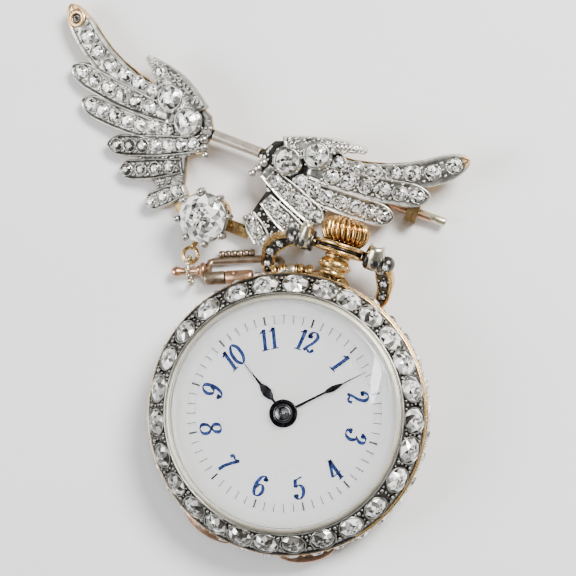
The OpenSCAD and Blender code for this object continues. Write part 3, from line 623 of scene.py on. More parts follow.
def bezel():
    """Sloping ring of collets with beads between the stones; the stones are not all alike."""
    rng = random.Random(27)
    base, top, edge = low("bezel"), high("bezel"), low("bezel") + 0.35
    slope = atan2(top - edge, BEZEL_OUT - BEZEL_IN)
    ring, stones = Shape(), Shape()
    middle_r, middle_z = (BEZEL_IN + BEZEL_OUT) / 2, (top + edge) / 2

    def on_slope(offset, clock, above=0.0):
        """Point on the slope, so far out from its middle and so far above it."""
        return polar(middle_r + offset * cos(slope), clock, middle_z - offset * sin(slope) + above)

    lathe(ring, [(BEZEL_IN, base), (BEZEL_OUT - 0.1, base), (BEZEL_OUT - 0.02, base + 0.12),
                 (BEZEL_OUT - 0.06, edge - 0.05), (middle_r, middle_z - 0.22), (BEZEL_IN + 0.2, top - 0.2),
                 (BEZEL_IN, top - 0.06)], 1, n=216)
    lathe(ring, rounded([(BEZEL_IN, top - 0.3), (BEZEL_IN + 0.17, top - 0.3), (BEZEL_IN + 0.15, top),
                         (BEZEL_IN, top)], 0.05), 2, n=160)
    # The gold edge is bare on the lit right; all round the rest it is painted dark as shade
    lip = rounded([(BEZEL_OUT - 0.16, base), (BEZEL_OUT, base), (BEZEL_OUT + 0.02, edge - 0.03),
                   (BEZEL_OUT - 0.14, edge + 0.05)], 0.05)
    for slot, start, turn in ((3, -42, 126), (1, 84, 234)):
        lathe(ring, lip, slot, n=turn // 3 * 2, start=radians(start), turn=radians(turn))
    lift = 0.08
    for i, clock in enumerate(BEZEL_CLOCKS):
        up = (polar(sin(slope), clock) + rise(cos(slope))).normalized()
        along = polar(1, clock + 90)
        width = rng.uniform(2.2, 2.46)
        across = min(2.22, width * rng.uniform(0.9, 0.98))
        at = polar(middle_r + sin(slope) * lift, clock, middle_z + cos(slope) * lift)
        stretch = width / across
        collar(ring, aim(at, up, along) @ stretched(stretch), across,
               ((-0.1, -0.3), (-0.01, 0.05), (0.07, 0.03), (0.1, -0.35)), 24)
        # Painted light and shade: stones on the right get more bright facets, and those in the shade at the
        # lower left darker ones
        shaded = 140 < clock < 262
        gem(stones, at - up * 0.03, up, across - 0.04, rng, sides=rng.choice((8, 8, 9, 10)), crown=0.21,
            table=rng.uniform(0.42, 0.56), stretch=stretch,
            light=1.4 if clock < 140 else 0.3 if shaded else 0.8, along=along, shade=2.4 if shaded else 1.0)
        following = BEZEL_CLOCKS[i + 1] if i + 1 < len(BEZEL_CLOCKS) else BEZEL_CLOCKS[0] + 360
        between = clock + (following - clock) / 2
        for offset, size in ((-0.74, 0.2), (-0.28, 0.13), (0.2, 0.12), (0.72, 0.21)):
            place = on_slope(offset, between + rng.uniform(-0.6, 0.6), 0.02)
            ball(ring, place, size * rng.uniform(0.85, 1.12), 0, BEAD, 0.8, up)
        for side in (-1.9, 1.9):
            for offset, size in ((-0.88, 0.13), (0.86, 0.14)):
                ball(ring, on_slope(offset, between + side), size)
    ring.make("bezel_collets", [GREY_SILVER, BLACK_SILVER, SILVER, GOLD], "watch", ["bezel"], "dark_silver")
    stones.make("bezel_gems", DIAMONDS, "watch", ["bezel_stones"], "diamond")


def rim_and_glass():
    """Sloping rim with a step and a fine groove, and the domed glass in it."""
    s = Shape()
    foot, step, outer = low("bezel_rim"), high("bezel"), BEZEL_IN - 0.03
    slope = (RIM_TOP - step) / (outer - RIM_IN)
    wall = [(RIM_IN, foot), (outer, foot), (outer, step - 0.03), (outer - 0.07, step + 0.03),
            (outer - 0.12, step - 0.06)]
    groove = [(RIM_IN + x, RIM_TOP - x * slope + z) for x, z in ((0.29, -0.1), (0.24, 0.02), (0.19, -0.02))]
    lip = [(RIM_IN + 0.14, RIM_TOP - 0.12), (RIM_IN + 0.1, RIM_TOP), (RIM_IN, RIM_TOP)]
    lathe(s, rounded(wall + groove + lip, 0.02), n=160)
    s.make("glass_rim", [RIM_GOLD], "watch", ["bezel_rim"], "pale_gold")

    glass = Shape()
    r, foot, thick, axis_r = RIM_IN - 0.03, RIM_TOP - 0.3, 0.12, 0.01
    dome = [(share, RIM_TOP + (high("crystal") - RIM_TOP) * (1 - share ** 2.6)) for share in shares(20)]
    outside = [(max(r * share, axis_r), z) for share, z in reversed(dome)]
    inside = [(max((r - thick) * share, axis_r), z - thick) for share, z in dome]
    lathe(glass, [(r - thick, foot), (r, foot)] + outside + inside, n=160)
    glass.make("crystal_dome", [GLASS], "watch", ["crystal"], "watch_glass")


# Dial

PAINT_T = 0.012


def flat_strip(shape, left, right, z, slot=0):
    """Thin raised band between two lines of points, such as a painted stroke."""
    under = z - PAINT_T
    rows = [[(a.x, a.y, z), (b.x, b.y, z), (b.x, b.y, under), (a.x, a.y, under)] for a, b in zip(left, right)]
    loft(shape, rows, slot, False)


def pen(shape, line, z, place=Vector, thin=0.03, thick=0.095, steps=7):
    """Stroke of a broad pen: thick where it runs down the numeral, thin where it runs across."""
    closed = line[0] == line[-1]
    line = curve(line[:-1] if closed else line, steps if len(line) > 2 else 1, closed)
    count = len(line)
    left, right = [], []
    for i, p in enumerate(line):
        d = (line[(i + 1) % count] - line[i - 1]).normalized() if closed else direction(line, i)
        half = thin + (thick - thin) * abs(d.y) ** 1.4
        side = left_of(d) * half
        left.append(place(p + side))
        right.append(place(p - side))
    if closed:
        left.append(left[0])
        right.append(right[0])
    flat_strip(shape, left, right, z)


def dot(x, y):
    """Small round blob of paint."""
    ring = [(x + p.x, y + p.y) for p in circle(0.045, 8)]
    return ring + ring[:1]


# Strokes of each numeral in a box 0.6 wide and 1 high; one that ends where it starts is closed
DIGITS = {
    "0": [[(0.3, 1.0), (0.1, 0.78), (0.06, 0.5), (0.1, 0.22), (0.3, 0.0), (0.5, 0.22), (0.54, 0.5),
           (0.5, 0.78), (0.3, 1.0)]],
    "1": [[(0.3, 1.0), (0.3, 0.0)], [(0.3, 0.98), (0.2, 0.88), (0.08, 0.84)], [(0.1, 0.02), (0.5, 0.02)]],
    "2": [[(0.16, 0.72), (0.1, 0.82), (0.2, 0.97), (0.38, 0.99), (0.52, 0.8), (0.42, 0.52), (0.22, 0.28),
           (0.08, 0.06)], [(0.08, 0.08), (0.24, 0.13), (0.42, 0.03), (0.56, 0.2)],
          dot(0.15, 0.75)],
    "3": [[(0.1, 0.82), (0.22, 0.98), (0.42, 0.95), (0.48, 0.75), (0.36, 0.56), (0.24, 0.53)],
          [(0.24, 0.53), (0.44, 0.5), (0.54, 0.28), (0.44, 0.05), (0.24, 0.0), (0.08, 0.14)],
          dot(0.13, 0.8), dot(0.13, 0.2)],
    "4": [[(0.42, 1.0), (0.06, 0.3)], [(0.06, 0.3), (0.6, 0.3)], [(0.42, 1.0), (0.42, 0.0)],
          [(0.26, 0.02), (0.58, 0.02)]],
    "5": [[(0.16, 0.9), (0.34, 0.95), (0.5, 1.0)], [(0.16, 0.95), (0.13, 0.56)],
          [(0.13, 0.56), (0.34, 0.64), (0.52, 0.46), (0.5, 0.16), (0.3, 0.0), (0.1, 0.12)],
          dot(0.13, 0.17)],
    "6": [[(0.48, 0.86), (0.36, 0.99), (0.18, 0.86), (0.08, 0.5), (0.14, 0.14), (0.3, 0.0), (0.48, 0.1),
           (0.54, 0.32), (0.42, 0.54), (0.26, 0.54), (0.13, 0.38)], dot(0.47, 0.84)],
    "7": [[(0.08, 0.82), (0.16, 0.98), (0.34, 0.9), (0.56, 1.0)],
          [(0.56, 1.0), (0.38, 0.62), (0.28, 0.3), (0.26, 0.0)]],
    "8": [[(0.3, 0.54), (0.12, 0.7), (0.14, 0.92), (0.32, 1.0), (0.5, 0.9), (0.48, 0.68), (0.3, 0.54),
           (0.1, 0.38), (0.08, 0.12), (0.3, 0.0), (0.52, 0.12), (0.5, 0.38), (0.3, 0.54)]],
}
DIGITS["9"] = [[(0.6 - x, 1 - y) for x, y in line] for line in DIGITS["6"]]


def dial():
    """Enamel plate with the numerals, the minute track and a few hairline cracks."""
    plate, paint, track, lines = Shape(), Shape(), Shape(), Shape()
    base, r, hole = low("dial"), BEZEL_IN - 0.04, 1.0
    lathe(plate, rounded([(hole, base), (r, base), (r, DIAL_TOP - 0.02), (9.4, DIAL_TOP), (hole, DIAL_TOP)],
                         0.05), n=160)
    plate.make("enamel_dial", [ENAMEL], "watch", ["dial"], "enamel")

    top = DIAL_TOP + 0.014
    height, radius, slant, narrow, wide = 1.95, 6.95, 0.12, 0.5, 0.66
    for hour in range(1, 13):
        middle, across, out = polar(radius, hour * 30), polar(1, hour * 30 + 90), polar(1, hour * 30)
        if 4 <= hour <= 8:
            across, out = -across, -out
        widths = [narrow if c == "1" else wide for c in str(hour)]
        x = -sum(widths) / 2

        def place(p):
            u = (p.x + x + slant * (p.y - 0.5)) * height * 0.92
            return middle + across * u + out * ((p.y - 0.5) * height)

        for c, width in zip(str(hour), widths):
            for line in DIGITS[c]:
                pen(paint, line, top, place)
            x += width
    paint.make("numerals", [BLUE], "watch", (), "enamel")

    inner_r, outer_r, half = 8.25, 8.98, 0.012
    for ring_r in (inner_r, outer_r):
        line = [polar(ring_r, k * 2) for k in range(181)]
        flat_strip(track, *([p * (1 + edge / ring_r) for p in line] for edge in (half, -half)), top, 1)
    for minute in range(60):
        half = degrees((0.042 if minute % 5 else 0.09) / outer_r)
        flat_strip(track, *([polar(r, minute * 6 + edge) for r in (inner_r, outer_r + 0.05)]
                            for edge in (half, -half)), top + 0.004)
    track.make("minute_track", [TRACK, FAINT], "watch", (), "enamel")

    for line in ([(-5.1, -3.5), (-5.0, -4.0), (-4.75, -4.7), (-4.45, -5.2)],
                 [(0.45, -5.72), (1.3, -5.25), (2.1, -4.6), (2.86, -3.95)],
                 [(2.86, -3.95), (3.1, -4.2), (3.2, -4.5)]):
        pen(lines, line, top - 0.004, thin=0.016, thick=0.016, steps=5)
    lines.make("enamel_hairlines", [CRACK], "watch", (), "enamel")


# Shapes of the hands: half widths along the length, as shares of the length and of the greatest width
MINUTE_LEAF = [(0, 0.5), (0.3, 0.4), (0.5, 0.36), (0.55, 0.8), (0.6, 1), (0.66, 0.72), (0.72, 0.26),
               (0.86, 0.18), (1, 0.1)]
HOUR_LEAF = [(0, 0.3), (0.2, 0.26), (0.28, 0.26), (0.34, 0.7), (0.42, 1), (0.5, 0.8), (0.58, 0.3),
             (0.8, 0.12), (1, 0.08)]


def hand(node, leaf, length, width, clock, bore):
    """Hand with a ridge along its middle, on a round hub."""
    s = Shape()
    z0, z1 = low(node), high(node)
    hub_r, edge = 1.3, z0 + 0.04
    lathe(s, rounded([(bore, z0), (hub_r, z0), (hub_r, z1 - 0.03), (hub_r - 0.08, z1), (bore, z1)], 0.03),
          n=48)
    along, across = polar(1, clock), polar(1, clock + 90)
    rows = []
    for t, share in leaf:
        y, w = max(t * length, hub_r - 0.1), share * width / 2
        rows.append([along * y + across * x + rise(z)
                     for x, z in ((-w, z0), (-w, edge), (0, z1), (w, edge), (w, z0))])
    loft(s, rows, 0, False, flip=True)
    s.make(node + "_leaf", [BLACK], node, [node], "black_steel")


def hands():
    """The two hands and the cap over their arbor."""
    hand("minute_hand", MINUTE_LEAF, 8.5, 0.56, 45.6, 0.9)
    hand("hour_hand", HOUR_LEAF, 5.85, 0.95, 303.4, 0.96)
    s = Shape()
    z0, z1 = low("centre_arbor"), high("centre_arbor") - 0.08
    lathe(s, [(0.02, z0), (0.86, z0), (0.86, z1 - 0.04), (0.82, z1), (0.1, z1), (0.02, z1)], n=40)
    for r in (0.8, 0.58, 0.36, 0.1):
        lathe(s, [(r - 0.08, z1 - 0.03), (r + 0.02, z1 - 0.03), (r, z1 + 0.03), (r - 0.06, z1 + 0.03)], 1,
              n=40)
    s.make("arbor_cap", [STEEL, BLACK], "minute_hand", ["centre_arbor"], "grey_steel")


# Pendant and crown. The pendant's axis is the line from the dial's centre to twelve.

PIVOT = Vector((0, 16, 4))


def pendant():
    """Turned neck under the crown, with the pivots of the bow and a small open ring on the plate."""
    s = Shape()
    top = BAND_TOP - LIP_H - 0.06
    # Plate between the band and the neck
    half, rows = 1.8, []
    for t in shares(8):
        x = half * (2 * t - 1)
        inner = sqrt((CASE_R - 0.2) ** 2 - x * x)
        outer = 13.75 - 0.45 * (abs(x) / half) ** 2.5
        rows.append([(x, inner, BAND_FOOT), (x, outer - 0.1, BAND_FOOT), (x, outer, BAND_FOOT + 0.12),
                     (x, outer, top - 0.18), (x, outer - 0.16, top), (x, inner, top)])
    loft(s, rows, 0, False)
    axis = aim((0, 0, PIVOT.z), Y)
    lathe(s, [
        (0.5, 13.4), (0.95, 13.4), (1.18, 13.55), (1.2, 13.75), (1.02, 13.85), (1.3, 14.02), (1.46, 14.3),
        (1.5, 14.5), (1.42, 14.78), (1.2, 14.98), (1.04, 15.08), (1.24, 15.18), (1.22, 15.34), (1.05, 15.4),
        (1.5, 15.46), (2.2, 15.5), (2.4, 15.6), (2.4, 15.7), (2.34, 15.78), (2.08, 15.82), (2.08, 16.12),
        (2.36, 16.16), (2.42, 16.22), (2.42, 16.4), (2.36, 16.5), (2.18, 16.48), (2.12, 16.2), (0.5, 16.2),
    ], 0, axis, 72)
    # Dark filling in the groove between the two flanges of the collar: painted shade
    lathe(s, [(1.9, 15.84), (2.12, 15.84), (2.12, 16.1), (1.9, 16.1)], 1, axis, 72)
    for out in circle(1, 14):
        out = Vector((out.x, 0, out.y))
        ball(s, Vector((0, 14.48, PIVOT.z)) + out * 1.47, 0.19, 0, BEAD, 0.7, out)
    boss = Vector((0.36, 13.3, top))
    lathe(s, [(0.26, -0.2), (0.3, 0.12), (0.42, 0.2), (0.56, 0.14), (0.62, -0.1)], 0, aim(boss, (0, 0.15, 1)),
          28, 0.9, tau - 0.9)
    ball(s, boss + rise(0.04), 0.15, 0, (5, 10))
    for side in (-X, X):
        rounded_rod(s, PIVOT + side * 2.2, PIVOT + side * 3.85, 0.39, 0, 20)
    s.make("pendant_neck", [GOLD, BLACK_SILVER], "watch", ["pendant"], "gold")


def crown():
    """Bun with rounded slanting ribs and sharp grooves between them."""
    s = Shape()
    foot, ribs, columns = 16.33, 24, 264
    height, widest, gap = 2.76, 2.3, 0.24
    m = aim((0, foot, PIVOT.z), Y)
    rows = []
    for t in shares(22):
        swell = 0.76 + 0.24 * sin(pi / 2 * min(1, t / 0.45))
        dome = max(0, t - 0.5) / 0.5
        r = max(widest * swell * max(0, 1 - dome ** 2.8) ** 0.5, 0.02)
        fade = min(1, t / 0.1) * min(1, max(0, (0.985 - t) / 0.1))
        row = []
        for k in range(columns):
            a = tau * k / columns
            groove = 1 - abs(sin(ribs / 2 * (a + 0.3 * t))) ** 0.62
            # On the dome the grooves go down instead of in
            sunk = 0.34 * fade * groove * dome
            row.append(around(r - 0.4 * min(1, r / 1.2) * fade * groove, a, gap + t * (height - gap) - sunk))
        rows.append(row)
    loft(s, rows, 0, True, m)
    lathe(s, [(r, height * share) for r, share in (
        (0.5, 0.955), (0.95, 0.93), (1.02, 0.945), (0.9, 0.985), (0.5, 0.995))], 0, m, 40)
    # Dark ring in the gap between the bun and the collar under it: painted shade
    lathe(s, [(1.2, -0.06), (1.5, -0.06), (1.5, gap + 0.08), (1.2, gap + 0.08)], 1, m, 64)
    rounded_rod(s, (0, 10.4, PIVOT.z), (0, foot + 0.2, PIVOT.z), 0.4, 0, 16)
    s.make("crown_bun", [CROWN_GOLD, BLACK_SILVER], "crown", ["crown"], "gold")


# Bow, in its own plane: y runs from the pivots to the far end, +x is the left arm

BOW = Matrix.Translation(PIVOT) @ spin(39.5, "X") @ spin(180, "Z")
BOW_UP = upright(BOW)
BOW_L, BOW_HALF, BOW_LEAN = 5.3, 5.75, 0.8
BOW_W, BOW_END_W, BOW_T = 1.7, 0.8, 0.84
HEAD_X, HEAD_L = 2.55, 1.65


def bow_line():
    """Middle line of the whole bow and its half width, from the left head to the right one."""
    def arm(side):
        x = BOW_HALF - side * BOW_LEAN
        first = [Vector(p) for p in (
            (HEAD_X + HEAD_L / 2, 0, 0), (x, 0.15 * BOW_L, 0), (x, 0.55 * BOW_L, 0))]
        second = [Vector(p) for p in ((x, 0.72 * BOW_L, 0), (x, BOW_L, 0), (0.72 * BOW_HALF, BOW_L, 0))]
        out = []
        for k in range(18):
            t = k / 8 if k < 9 else 1 + (k - 9) / 8
            p = quad_curve(*first, t) if k < 9 else quad_curve(*second, t - 1)
            wide = min(1, t / 0.5, max(0, (1.3 - t) / 0.5))
            out.append((Vector((-side * p.x, p.y, 0)), (BOW_END_W + (BOW_W - BOW_END_W) * wide) / 2))
        return out
    far_end = [(Vector((x, BOW_L, 0)), BOW_END_W / 2) for x in (2, 0, -2)]
    return arm(-1) + far_end + list(reversed(arm(1)))


def bow_head(band, stones, side, rng):
    """Reel-shaped head on the pivot with a ball at its end, under a curved cap."""
    m = BOW @ stretched(side)
    end = HEAD_X + HEAD_L + 0.4
    lathe(band, [
        (0.46, 0), (0.93, 0), (1.0, 0.1), (1.0, 0.3), (0.86, 0.42), (0.9, 0.6), (1.02, 0.85), (1.0, 1.15),
        (0.84, 1.32), (0.94, 1.42), (0.94, 1.58), (0.8, HEAD_L), (0.46, HEAD_L),
    ], 0, aim(m @ (X * HEAD_X), m.to_3x3() @ X, BOW_UP), 40)
    ball(band, m @ (X * end), 0.76, 0, (10, 20))
    lathe(band, [(0.22, 0.66), (0.32, 0.72), (0.42, 0.6)], 3, aim(m @ (X * end), BOW_UP), 16)
    gem(stones, m @ Vector((end, 0, 0.68)), BOW_UP, 0.6, rng, light=1.6)
    # Cap: a curved leaf with a raised middle line, peaked on the left and rounded on the right
    peak = 1.95 if side > 0 else 1.6
    cols, rows, thick = 10, 8, 0.3
    points, faces = [], []
    for u in shares(cols):
        ridge = 0.98 - 0.62 * (abs(u - 0.5) * 2) ** 2 * 0.8
        for v in shares(rows):
            width = (1 - 0.55 * v ** 1.8) if side > 0 else (1.12 - 0.4 * v ** 3)
            x = HEAD_X + HEAD_L * (0.5 + (u - 0.5) * width * 1.08)
            points.append((x, 0.55 - (peak + 0.55) * v, ridge - 0.55 * v ** 2.2))
    under = len(points)
    points += [(x, y + 0.02, z - thick) for x, y, z in points]
    n = rows + 1
    for start in range(0, cols * n, n):
        for a in range(start, start + rows):
            faces += [[a + n, a + n + 1, a + 1, a], [under + k for k in (a, a + 1, a + n + 1, a + n)]]
    rim = list(range(n)) + [k * n + rows for k in range(1, cols + 1)]
    rim += list(range(cols * n + rows - 1, cols * n - 1, -1)) + [k * n for k in range(cols - 1, 0, -1)]
    faces += [[b, under + b, under + a, a] for a, b in zip(rim, rim[1:] + rim[:1])]
    band.add(points, faces, 2, True, m)


def bow():
    """Flat band in the form of an arch, gold along its edges, with a row of stones."""
    rng = random.Random(5)
    band, stones = Shape(), Shape()
    line, widths = zip(*bow_line())
    top = BOW_T / 2
    # Distance from each edge, height, and whether the face up to the next point is gold
    edge = [(0.12, -top, 1), (0, -top + 0.1, 1), (0, top - 0.14, 1), (0.08, top + 0.05, 1),
            (0.2, top + 0.03, 1), (0.27, top - 0.1, 0)]
    rows = []
    for i, (p, w) in enumerate(zip(line, widths)):
        side = -left_of(direction(line, i))
        # The gold rim is broader along the outside, less so where the bow narrows
        broad = 1 + 0.95 * min(1, w / (BOW_W / 2)) ** 3
        rows.append([p + side * (w - x * (broad if x > 0.15 else 1)) + rise(z) for x, z, _ in edge]
                    + [p - side * (w - x) + rise(z) for x, z, _ in reversed(edge)])
    gold = [g for _, _, g in edge] + [g for _, _, g in reversed(edge[:-1])] + [1]
    loft(band, rows, gold * (len(line) - 1) + [1, 1], False, BOW)
    total = [0.0]
    for a, b in zip(line, line[1:]):
        total.append(total[-1] + (b - a).length)
    count = 15
    for k in range(count):
        want = total[-1] * (k + 0.75) / (count + 0.5)
        i = max(j for j in range(len(total) - 1) if total[j] <= want)
        share = (want - total[i]) / max(total[i + 1] - total[i], 1e-6)
        p = line[i].lerp(line[i + 1], share)
        w = widths[i] + (widths[i + 1] - widths[i]) * share
        d = (line[i + 1] - line[i]).normalized()
        side = -left_of(d)
        if w < 0.5 and p.y > 3:
            continue
        p = p - side * 0.13 * min(1, w / (BOW_W / 2)) ** 3
        spot = BOW @ (p + rise(top - 0.03))
        size = min(0.86, 1.25 * w) * rng.uniform(0.85, 1.0)
        collar(band, aim(spot, BOW_UP), size, ((-0.05, -0.06), (0.03, 0.07), (0.08, -0.06)), 14)
        gem(stones, spot, BOW_UP, size, rng, light=0.6)
        for q in (-1, 0, 1):
            ball(band, BOW @ (p + d * (0.3 if q else 0.6) + side * (w - 0.4) * q + rise(top - 0.05)), 0.13, 3)
    for side in (-1, 1):
        bow_head(band, stones, side, rng)
    band.make("bow_band", [BLACK_SILVER, GOLD, PALE_GOLD, GREY_SILVER], "brooch", ["bow"], "dark_silver")
    stones.make("bow_gems", DIAMONDS, "brooch", ["bow_stones"], "diamond")


# Swivel, along x from its end ball; the side with the tongue is at +y

SWIVEL_FLAT = Matrix.Translation((-14.75, 9.4, 1.1)) @ spin(20.5, "Z")
SWIVEL = SWIVEL_FLAT @ spin(148.5, "X")
HOOK_L, HOOK_HALF, WIRE, TONGUE_R = 9.25, 1.0, 0.36, 0.66


def in_swivel(points):
    """Points of the swivel's own frame in the watch's frame."""
    return [SWIVEL @ Vector(p) for p in points]


def tongue_tube(s, places, slot):
    """Thick tube on the hook's side with the tongue, from pairs of its place and share of its radius."""
    path = in_swivel([(x, HOOK_HALF, 0) for x, _ in places])
    tube(s, path, [TONGUE_R * share for _, share in places], slot, 24)


def swivel():
    """Turned shank, hook of round wire, and the tube that closes the hook."""
    s = Shape()
    lathe(s, [
        (0.02, -0.55), (0.26, -0.5), (0.46, -0.32), (0.55, 0), (0.48, 0.28), (0.36, 0.42), (0.35, 1.95),
        (0.5, 2.05), (0.52, 2.2), (0.42, 2.3), (0.7, 2.38), (0.78, 2.5), (0.78, 2.72), (0.68, 2.84),
        (0.4, 2.9), (0.38, 3.3), (0.02, 3.3)], 0, aim(SWIVEL.translation, SWIVEL.to_3x3() @ X), 36)
    hook = [(3.1, HOOK_HALF), (3.1, 0.4), (3.1, -0.4), (3.25, -HOOK_HALF + 0.12), (3.6, -HOOK_HALF),
            (5.5, -HOOK_HALF), (7.5, -HOOK_HALF)]
    hook += [(HOOK_L + HOOK_HALF * sin(pi * t), -HOOK_HALF * cos(pi * t)) for t in shares(8)]
    tube(s, in_swivel([(x, y, 0) for x, y in hook + [(7.7, HOOK_HALF)]]), WIRE, 1, 18)
    # A row of short bars along the hook's back
    for k in range(6):
        x = 4.12 + k * 0.58
        bar = in_swivel([(end, -HOOK_HALF - 1.6 * WIRE, -0.8 * WIRE) for end in (x, x + 0.55)])
        rounded_rod(s, *bar, WIRE, 1, 14, 0.5)
    tongue_tube(s, [(2.74, 0.6), (2.8, 0.86), (2.96, 0.97), (3.1, 1), (4.66, 1), (4.8, 0.9)], 2)
    s.make("swivel_body", [ROSE, DULL_ROSE, DULL_ROSE], "brooch", ["swivel_hook"], "rose_gold")
    tongue = Shape()
    tongue_tube(tongue, [(4.87, 0.9), (4.97, 1), (7.2, 1), (7.36, 0.93), (7.47, 0.75)], 0)
    ball(tongue, *in_swivel([(5.7, HOOK_HALF, -TONGUE_R + 0.05)]), 0.16, 0, (5, 10))
    tongue.make("swivel_tongue_tube", [ROSE], "brooch", ["swivel_tongue"], "rose_gold")


def swivel_link():
    """Beaded ring that hangs in the eye under the centre stone and goes round the shank."""
    s = Shape()
    ring_x, ring_r, wire, bead = 1.42, 1.3, 0.14, 0.235
    low_z = ring_r + 0.26 - SWIVEL.translation.z

    def on_ring(a):
        return SWIVEL_FLAT @ Vector((ring_x, ring_r * cos(a), low_z + ring_r * sin(a)))

    tube(s, [on_ring(tau * t) for t in shares(40)], wire, 0, 8, SWIVEL_FLAT.to_3x3() @ X)
    beads = 14
    for k in range(beads):
        ball(s, on_ring(tau * (k + 0.5) / beads), bead, 0, (7, 12))
    s.make("beaded_link", [PALE_GOLD], "brooch", ["swivel_ring"], "pale_gold")


# Brooch, drawn flat round the centre stone; x is to the right, y towards the wings' tips

BROOCH = Matrix.Translation((-13, 15.25, 1.42)) @ spin(-4, "Z") @ spin(-3, "Y") @ spin(12, "X")
SPAN, RISE, LEFT_SHARE = 21.3, 13.9, 0.98
SHOULDER = Vector((2.5, 0.55 * RISE, 0))
FEATHER_W, SILVER_T, STEP = 2.6, 0.6, 0.05
COVERT_TOP = SILVER_T + 9 * STEP
LARGE_TOP = COVERT_TOP + 0.12
METAL_FOOT = 0.03
# Shares of the left wing's feathers past which they are painted dark as shade; NEVER is beyond every tip
SHADED_FEATHERS, NEVER = {3: 0.55, 4: 0.0}, 2.0

# Root, middle and tip as shares of SPAN and RISE, width, stones, shares kept right and left, left drop
FEATHERS = [
    (0.43, 0.64, 0.72, 0.605, 0.985, 0.975, 1.00, 6, 1.02, 1.035, 0),
    (0.34, 0.56, 0.62, 0.56, 0.89, 0.665, 0.95, 6, 1, 1, 0.06),
    (0.30, 0.435, 0.54, 0.405, 0.77, 0.45, 0.92, 6, 1, 1.03, 0.04),
    (0.16, 0.455, 0.35, 0.32, 0.565, 0.21, 0.86, 6, 0.8, 1.05, 0),
    (0.205, 0.27, 0.32, 0.17, 0.455, 0.09, 0.80, 4, 1, 1.1, 0),
    (0.155, 0.13, 0.22, 0.04, 0.285, -0.05, 0.72, 3, 0.84, 1.1, 0),
]
WEB = [(0.118, 0.55), (0.16, 0.66), (0.31, 0.75), (0.46, 0.73), (0.56, 0.62), (0.52, 0.42), (0.42, 0.2),
       (0.25, 0.02), (0.15, 0.03), (0.175, 0.2), (0.20, 0.33), (0.14, 0.45)]
COVERT = {1: [(0.22, 0.63), (0.42, 0.80), (0.56, 0.81)], -1: [(0.22, 0.63), (0.42, 0.80), (0.53, 0.87)]}
LARGE = [(0.245, 0.57), (0.36, 0.675)]
CURL = [(0.145, 0.5), (0.13, 0.45), (0.112, 0.405)]

# Section of a feather: place across it and height over its front, then the material after each point
RIBBED = mirrored([(-1, -1), (-1, -0.14), (-0.985, -0.04), (-0.93, 0.06), (-0.86, 0.05), (-0.8, -0.06),
                   (-0.66, -0.1), (-0.3, 0.0)])
RIB_SLOTS = [0] * 5 + [1] * 5 + [0] * 5 + [1]


def on_wing(side):
    """Matrix of the right wing (side 1) or the left one (side -1)."""
    raised = spin(1.5 if side < 0 else 0, "Z")
    to_shoulder = Matrix.Translation(SHOULDER)
    return BROOCH @ stretched(side) @ to_shoulder @ raised @ spin(6, "Y") @ to_shoulder.inverted()


def wing_point(side, x, y):
    """Point of a wing from shares of its span and its rise."""
    return Vector((x * SPAN * (LEFT_SHARE if side < 0 else 1), y * RISE, 0))


class Feather:
    """One feather of a wing: its spine, its width along it and the height of its front."""

    def __init__(self, side, index):
        x0, y0, x1, y1, x2, y2, width, stones, kept_right, kept_left, drop = FEATHERS[index]
        drop = drop if side < 0 else 0
        self.points = [wing_point(side, x0, y0), wing_point(side, x1, y1 - drop / 2),
                       wing_point(side, x2, y2 - drop)]
        self.kept = kept_left if side < 0 else kept_right
        self.width = FEATHER_W * width
        self.top = SILVER_T + (index + 1) * STEP
        self.count = max(2, round(stones * self.kept))

    def at(self, t):
        return quad_curve(*self.points, t * self.kept)

    def across(self, t):
        a, b, c = self.points
        u = t * self.kept
        return left_of(((b - a) * (1 - u) + (c - b) * u).normalized())

    def half(self, t):
        end = 1 if t < 0.8 else sqrt(max(0, 1 - ((t - 0.8) / 0.2) ** 2))
        return self.width / 2 * (0.7 + 0.27 * min(1, t / 0.45)) * end

    def room(self, p):
        """Distance from a point to the feather's edge; negative on the feather."""
        return min((self.at(t) - p).length - self.half(t) for t in shares(24))


def feather_body(s, feather, m, bare_from, dark_from):
    """Strip with raised border ribs, a hollow on each side of the stones and a rounded tip.

    Past one share of its length it is bare gold, and past the other it is painted dark as shade.
    """
    steps = [k / 26 for k in range(21)] + [0.8 + 0.2 * sin(pi / 2 * k / 10) for k in range(1, 11)]
    rows, slots = [], []
    for t in steps:
        half = max(feather.half(t), 0.05)
        row = []
        for (u, z), slot in zip(RIBBED, RIB_SLOTS):
            # The ribs keep their width towards the tip, where the strip narrows
            x = max(half - (1 - abs(u)) * feather.width / 2, 0.02 * abs(u)) if abs(u) < 1 else half
            height = METAL_FOOT if z == -1 else feather.top + z
            row.append(feather.at(t) + feather.across(t) * copysign(x, u) + rise(height))
            slots.append(2 if t >= bare_from else (3 if slot else 1) if t >= dark_from else slot)
        rows.append(row)
    loft(s, rows, slots[:-len(RIBBED)] + [0, 0], True, m)


def inside_polygon(p, polygon):
    """Whether a point lies in an outline."""
    hit = False
    for a, b in zip(polygon, polygon[1:] + polygon[:1]):
        if (a.y > p.y) != (b.y > p.y) and p.x < (b.x - a.x) * (p.y - a.y) / (b.y - a.y) + a.x:
            hit = not hit
    return hit


def plate(s, outline, z0, z1, slot, m):
    """Flat plate with a bevelled upper edge. The outline runs clockwise."""
    bevel = 0.08
    middle = sum(outline, Vector()) / len(outline)
    inner = [p + (middle - p).normalized() * bevel for p in outline]
    rows = [[p + rise(z) for p in reversed(line)]
            for line, z in ((outline, z0), (outline, z1 - bevel), (inner, z1))]
    loft(s, rows, slot, False, m)


